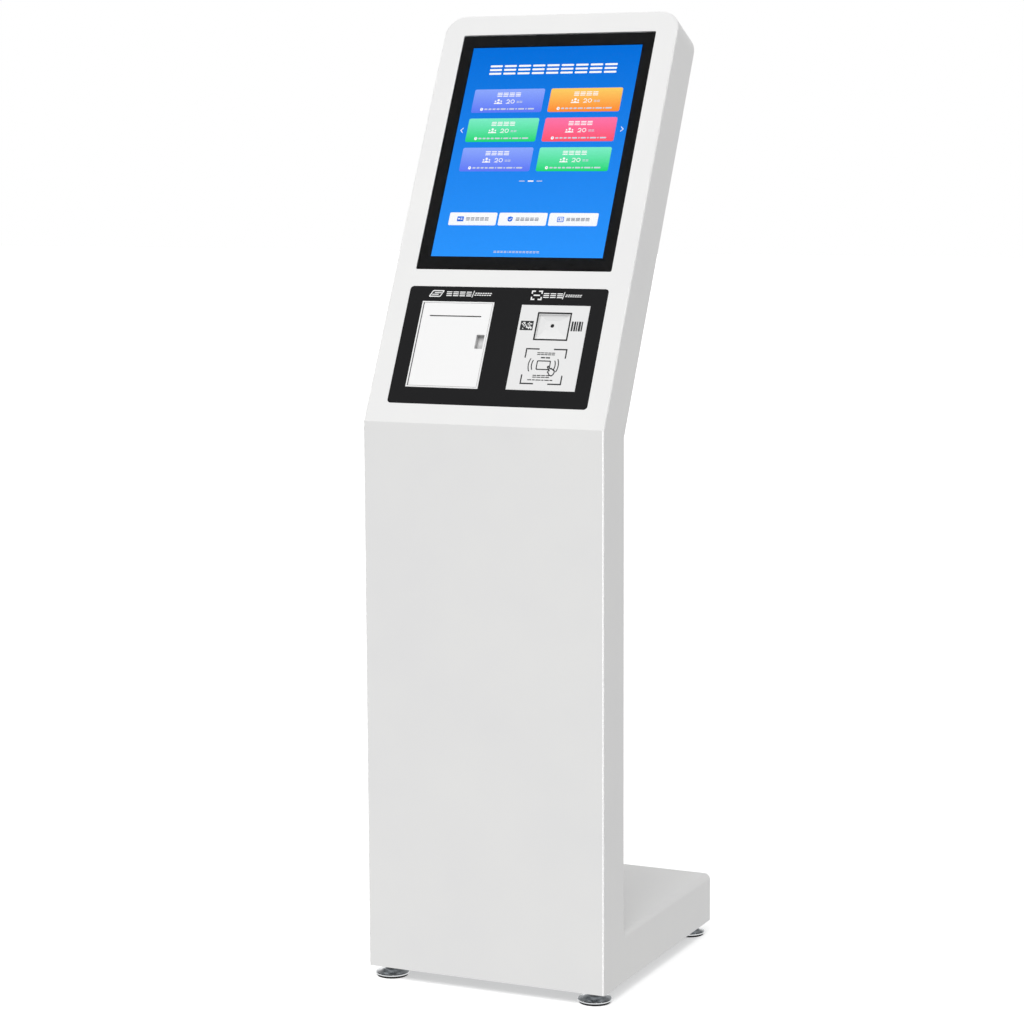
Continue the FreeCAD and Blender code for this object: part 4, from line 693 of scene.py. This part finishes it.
def screen_picture():
    """The whole picture, one piece for each of its inks."""
    backdrop = Plates()
    backdrop.prism(rounded(0, SCREEN_V, LIT_HALF_U, LIT_HALF_V), *layer(0))
    backdrop.finish("screen_backdrop", screen_ink("screen_blue", "2b95ff", "006fdc"), LIT_SLOT)
    white = Plates()
    soft = Plates()
    marks = Plates()
    buttons = Plates()
    grey = Plates()
    screen_tiles(white, soft, marks)
    words(white, 0, HEADING_V, HEADING, layer(1), 3)
    screen_arrows(white)
    screen_pager(white, soft)
    screen_buttons(buttons, grey, marks, white)
    words(soft, BUTTONS_SHIFT_U, FOOTER_V, FOOTER, layer(1))
    buttons.finish("screen_buttons", screen_ink("screen_button_white", "f6f9ff", "ffffff"), LIT_SLOT)
    grey.finish("screen_button_words", screen_ink("screen_grey", "3f4a63", "4a5670"), LIT_SLOT)
    marks.finish("screen_marks", screen_ink("screen_mark_blue", "1560d8", "2a7df0"), LIT_SLOT)
    white.finish("screen_white", screen_ink("screen_bright", "ffffff", "ffffff"), LIT_SLOT)
    soft.finish("screen_words", screen_ink("screen_soft_white", "dce8ff", "eef4ff", 0.86), LIT_SLOT)


def glass_border():
    """Black print on the back of the glass, round the lit area."""
    inset = 0.4
    margin = 0.6
    border = Plates()
    half_v = (glass_v[1] - glass_v[0]) / 2 - inset
    outer = rounded(0, middle(glass_v), glass_u[1] - inset, half_v, 1.6)
    inner = rounded(0, SCREEN_V, LIT_HALF_U + margin, LIT_HALF_V + margin, margin)
    near = glass_w[1] - 0.12
    far = glass_w[1] - 0.05
    border.band(outer, inner, near, far)
    ink = plain("border_ink", "2a2a2b", 0.5, 500, 5)
    border.finish("glass_border", ink, "black_plastic")


# Prints on the service panel and on the reader plate

PRINT = 0.05
FRAME_LINE = 2.2
PRINT_V = 222.4
TICKET_U = -124.2
TICKET_LEAN = 0.55
SCAN_U = 51.4
TICKET_WORDS = ((9.6, 9.6, 9.6, 9.0), 9.6, 2.1)
TICKET_NOTE = ((3.4,) * 7, 6.6, 0.9)
SCAN_WORDS = ((9.6, 9.6, 9.6), 9.6, 2.1)
SCAN_NOTE = ((3.2,) * 7, 5.4, 0.8)
CARD_V = 102.3
CARD_WORDS = ((5.6,) * 5, 5.8, 0.6)
CARD_NOTE = ((7.4, 7.4), 2.2, 1.0)
LOWER_WORDS = ((6.6, 6.6, 7.0, 6.6), 6.0, 0.7)
LOWER_NOTE = ((7, 5, 9, 4, 8, 5), 1.6, 1.0)
reader_u = head_box("reader_plate")[0]
trim_box = head_box("scan_trim")
trim_u = trim_box[0]


def corner_marks(plates, u, v, half, leg, depth):
    """Four corners of a frame about (u, v), with its half size and the length of its legs."""
    for su in (-1, 1):
        for sv in (-1, 1):
            a = u + su * half[0]
            b = v + sv * half[1]
            points = [(a - su * leg[0], b), (a, b), (a, b - sv * leg[1])]
            plates.prism(ribbon(points, FRAME_LINE), *depth)


def leaning(outline, v, lean):
    """The outline sheared across, so that it leans about the height v."""
    return [(a + lean * (b - v), b) for a, b in outline]


def ticket_symbol(plates, depth):
    """A leaning sheet with two lines on it."""
    line_up = 1.4
    line_shift = 1.6
    sheet = leaning(rounded(TICKET_U, PRINT_V, 10.4, 5.8, 1.8), PRINT_V, TICKET_LEAN)
    hollow = leaning(rounded(TICKET_U, PRINT_V, 8.6, 4.0, 0.9), PRINT_V, TICKET_LEAN)
    plates.band(sheet, hollow, *depth)
    for side in (1, -1):
        line = rounded(TICKET_U + side * line_shift, PRINT_V + side * line_up, 6.0, 0.75)
        plates.prism(leaning(line, PRINT_V, TICKET_LEAN), *depth)


def label(plates, places, word, note, note_slant, depth):
    """Greeked word, a leaning divider and a smaller greeked note, at three places across."""
    word_u, divider_u, note_u = places
    words(plates, word_u, PRINT_V, word, depth, 3)
    plates.prism(leaning(rounded(divider_u, PRINT_V, 0.65, 5.8), PRINT_V, 0.2), *depth)
    words(plates, note_u, PRINT_V, note, depth, 2, note_slant)


def panel_print():
    """White pictograms and greeked words above the printer and the reader."""
    depth = (-PRINT, 0.0)
    plates = Plates()
    ticket_symbol(plates, depth)
    label(plates, (-84.5, -59.4, -42), TICKET_WORDS, TICKET_NOTE, 0.35, depth)
    corner_marks(plates, SCAN_U, PRINT_V, (8.4, 7.0), (5.6, 4.4), depth)
    plates.prism(rounded(SCAN_U, PRINT_V, 5.4, 1.1), *depth)
    label(plates, (79.5, 97.6, 114.6), SCAN_WORDS, SCAN_NOTE, 0.3, depth)
    ink = plain("white_print", "f4f4f4", 0.45, 400, 4)
    plates.finish("panel_print", ink, "white_plastic")


def code_square(plates, u, v, cell, depth):
    """Rectangle of random square cells, dense at its edge, which codes nothing."""
    draw = random.Random(7)
    columns = 11
    rows = 8
    edge_share = 0.88
    inner_share = 0.58
    half = cell * 0.49
    for column in range(columns):
        for row in range(rows):
            at_edge = column in (0, columns - 1) or row in (0, rows - 1)
            if draw.random() < (edge_share if at_edge else inner_share):
                a = u + (column - (columns - 1) / 2) * cell
                b = v + (row - (rows - 1) / 2) * cell
                plates.prism(rounded(a, b, half, half), *depth)


def bar_mark(plates, u, v, width, height, depth):
    """Row of bars of random width, which codes nothing."""
    draw = random.Random(11)
    left = u - width / 2
    while left < u + width / 2 - 1:
        bar = draw.choice((2.2, 3.0, 3.6))
        plates.prism(rounded(left + bar / 2, v, bar / 2, height / 2), *depth)
        left += bar + draw.choice((1.1, 1.4))


def hand_outline(u, v):
    """Outline of a hand with one finger out."""
    shape = [
        (-6.2, 6.2), (-4.4, 7.0), (-0.4, 2.6), (1.2, 3.8),
        (2.6, 2.0), (4.0, 2.4), (5.0, 0.4), (6.6, 0.4),
        (7.4, -2.4), (6.2, -6.2), (3.4, -9.0), (-0.6, -7.6),
        (-2.4, -4.2), (-4.2, -2.8), (-3.0, -0.8), (-1.6, -0.4),
    ]
    return [(u + a, v + b) for a, b in shape]


def card_symbol(plates, u, v, depth):
    """An outlined card with two radio waves at each side."""
    plates.band(rounded(u, v, 12, 8, 2), rounded(u, v, 10.2, 6.2, 1), *depth)
    for side, facing in ((-1, 180), (1, 0)):
        for reach, swing in ((18.6, 26), (24.0, 27)):
            wave = arc(u + side * 1.5, v, reach, facing - swing, facing + swing, 10)
            plates.prism(ribbon(wave, 1.7), *depth)


def reader_print():
    """Dark pictograms of codes, a card and radio waves, and greeked words."""
    depth = (-PRINT, 0.0)
    plates = Plates()
    window_v = middle(trim_box[2])
    code_square(plates, (reader_u[0] + trim_u[0]) / 2, window_v + 0.6, 2.0, depth)
    bar_mark(plates, (trim_u[1] + reader_u[1]) / 2 - 1.4, window_v + 0.9, 21, 16.4, depth)
    u = middle(reader_u) - 1.5
    corner_marks(plates, u, CARD_V, (34.2, 29.2), (22, 15), depth)
    words(plates, u + 0.4, CARD_V + 21.4, CARD_WORDS, depth)
    words(plates, u + 0.6, CARD_V + 14.8, CARD_NOTE, depth, 1)
    words(plates, u - 1.3, CARD_V - 16.6, LOWER_WORDS, depth)
    words(plates, u - 1.9, CARD_V - 22.8, LOWER_NOTE, depth, 1)
    card_u = u - 0.8
    card_v = CARD_V + 2.2
    card_symbol(plates, card_u, card_v, depth)
    hand = hand_outline(card_u + 13.5, card_v - 8.6)
    plates.prism(ribbon(hand + hand[:1], 1.8), -3 * PRINT, -2 * PRINT)
    ink = plain("dark_print", "2f3032", 0.5, 400, 4)
    plates.finish("reader_print", ink, "black_plastic")
    palm = Plates()
    palm.prism(hand, -2 * PRINT, -PRINT)
    palm_ink = plain("palm_print", "eeeeee", 0.5, 400, 4)
    palm.finish("reader_print_palm", palm_ink, "grey_plastic")


screen_picture()
glass_border()
panel_print()
reader_print()


# Studio

AMBIENT = 0.6
FLOOR_GLOW = 0.45
# Mirror-like surfaces see a bright wall that fades to a dark ceiling and to a dark ground
CEILING = {"From Min": 0.15, "From Max": 0.55, "To Min": 1.0, "To Max": 0.02}
GROUND = {"From Min": -0.3, "From Max": -0.6, "To Min": 1.0, "To Max": 0.1}
# Folded sheets whose rounded front edges catch the edge light. It stands almost straight ahead, where their
# flat sides mirror it only to a viewer who sees them edge on.
EDGED = ("side_panel_left", "side_panel_right")
# Name, direction it comes from, strength, width in degrees, and whether it lights matt surfaces
# or shows in shiny ones
LAMPS = (
    ("key_light", (-0.04, -0.233, 0.367), 1.57, 40, True),
    ("back_light", (0.1, 0.5, 0.86), 0.2, 50, True),
    ("edge_light", (0.087, -0.989, -0.12), 9.2, 40, False),
)


def floor():
    """Pale floor that glows faintly, so that it fades into the backdrop."""
    reach = 30.0
    mesh = bpy.data.meshes.new("floor")
    corners = [(a, b, 0) for a, b in rounded(0, 0, reach, reach)]
    mesh.from_pydata(corners, [], [tuple(range(len(corners)))])
    finish = Finish("floor_paint")
    cloud = finish.noise(1.5)
    finish.shade(
        Base_Color=finish.mix(finish.spread(cloud, 0, 1), linear("f0f0f0"), linear("f3f3f3")),
        Roughness=0.9,
        Specular_IOR_Level=0.0,
        Emission_Color=(1, 1, 1, 1),
        Emission_Strength=FLOOR_GLOW,
    )
    mesh.materials.append(finish.material)
    ground = bpy.data.objects.new("floor", mesh)
    scene.collection.objects.link(ground)
    ground.visible_diffuse = False
    ground.visible_glossy = False
    ground.visible_shadow = False


def backdrop():
    """White to the eye, dimmer as a source of light, and a graded wall to mirror-like surfaces."""
    world = bpy.data.worlds.new("studio")
    scene.world = world
    world.use_nodes = True
    tree = world.node_tree
    sky = tree.nodes["Background"]
    sky.inputs["Color"].default_value = (1, 1, 1, 1)
    heading = tree.nodes.new("ShaderNodeTexCoord")
    split = tree.nodes.new("ShaderNodeSeparateXYZ")
    tree.links.new(heading.outputs["Generated"], split.inputs[0])
    wall = tree.nodes.new("ShaderNodeMath")
    wall.operation = "MULTIPLY"
    for socket, fade in zip(wall.inputs, (CEILING, GROUND)):
        share = tree.nodes.new("ShaderNodeMapRange")
        tree.links.new(split.outputs[2], share.inputs["Value"])
        for key, value in fade.items():
            share.inputs[key].default_value = value
        tree.links.new(share.outputs[0], socket)
    path = tree.nodes.new("ShaderNodeLightPath")
    mirrored = tree.nodes.new("ShaderNodeMix")
    mirrored.inputs[2].default_value = AMBIENT
    tree.links.new(path.outputs["Is Glossy Ray"], mirrored.inputs[0])
    tree.links.new(wall.outputs[0], mirrored.inputs[3])
    seen = tree.nodes.new("ShaderNodeMix")
    seen.inputs[3].default_value = 1.0
    tree.links.new(path.outputs["Is Camera Ray"], seen.inputs[0])
    tree.links.new(mirrored.outputs[0], seen.inputs[2])
    tree.links.new(seen.outputs[0], sky.inputs["Strength"])


def lamps():
    """Distant lamps. Those that show in shiny surfaces reach only the folded sheets."""
    edged = bpy.data.collections.new("edged_pieces")
    for name in EDGED:
        edged.objects.link(nodes[name])
    for name, direction, strength, width, matt in LAMPS:
        lamp = bpy.data.lights.new(name, "SUN")
        lamp.energy = strength
        lamp.angle = math.radians(width)
        holder = bpy.data.objects.new(name, lamp)
        holder.rotation_mode = "QUATERNION"
        holder.rotation_quaternion = Vector(direction).to_track_quat("Z", "Y")
        holder.visible_diffuse = matt
        holder.visible_glossy = not matt
        holder.visible_transmission = not matt
        if not matt:
            holder.light_linking.receiver_collection = edged
        scene.collection.objects.link(holder)


def camera():
    """Camera at a standing viewer's distance, to the right of the kiosk and a little above its middle."""
    yaw = math.radians(24.68)
    pitch = math.radians(7.48)
    roll = math.radians(-0.26)
    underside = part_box("column_front_panel")[0].z
    place = Vector((1.808, -4.057, underside + 1.312))
    focal_widths = 2.657
    lens = bpy.data.cameras.new("camera")
    lens.sensor_width = 36.0
    lens.lens = lens.sensor_width * focal_widths
    lens.clip_end = 100
    holder = bpy.data.objects.new("camera", lens)
    forward = Vector((-math.sin(yaw) * math.cos(pitch), math.cos(yaw) * math.cos(pitch), -math.sin(pitch)))
    right = Vector((math.cos(yaw), math.sin(yaw), 0))
    up = right.cross(forward)
    right, up = right * math.cos(roll) + up * math.sin(roll), up * math.cos(roll) - right * math.sin(roll)
    turn = Matrix((right, up, -forward)).transposed()
    holder.matrix_world = Matrix.Translation(place) @ turn.to_4x4()
    scene.collection.objects.link(holder)
    scene.camera = holder


scene.view_settings.view_transform = "Standard"
floor()
backdrop()
lamps()
camera()
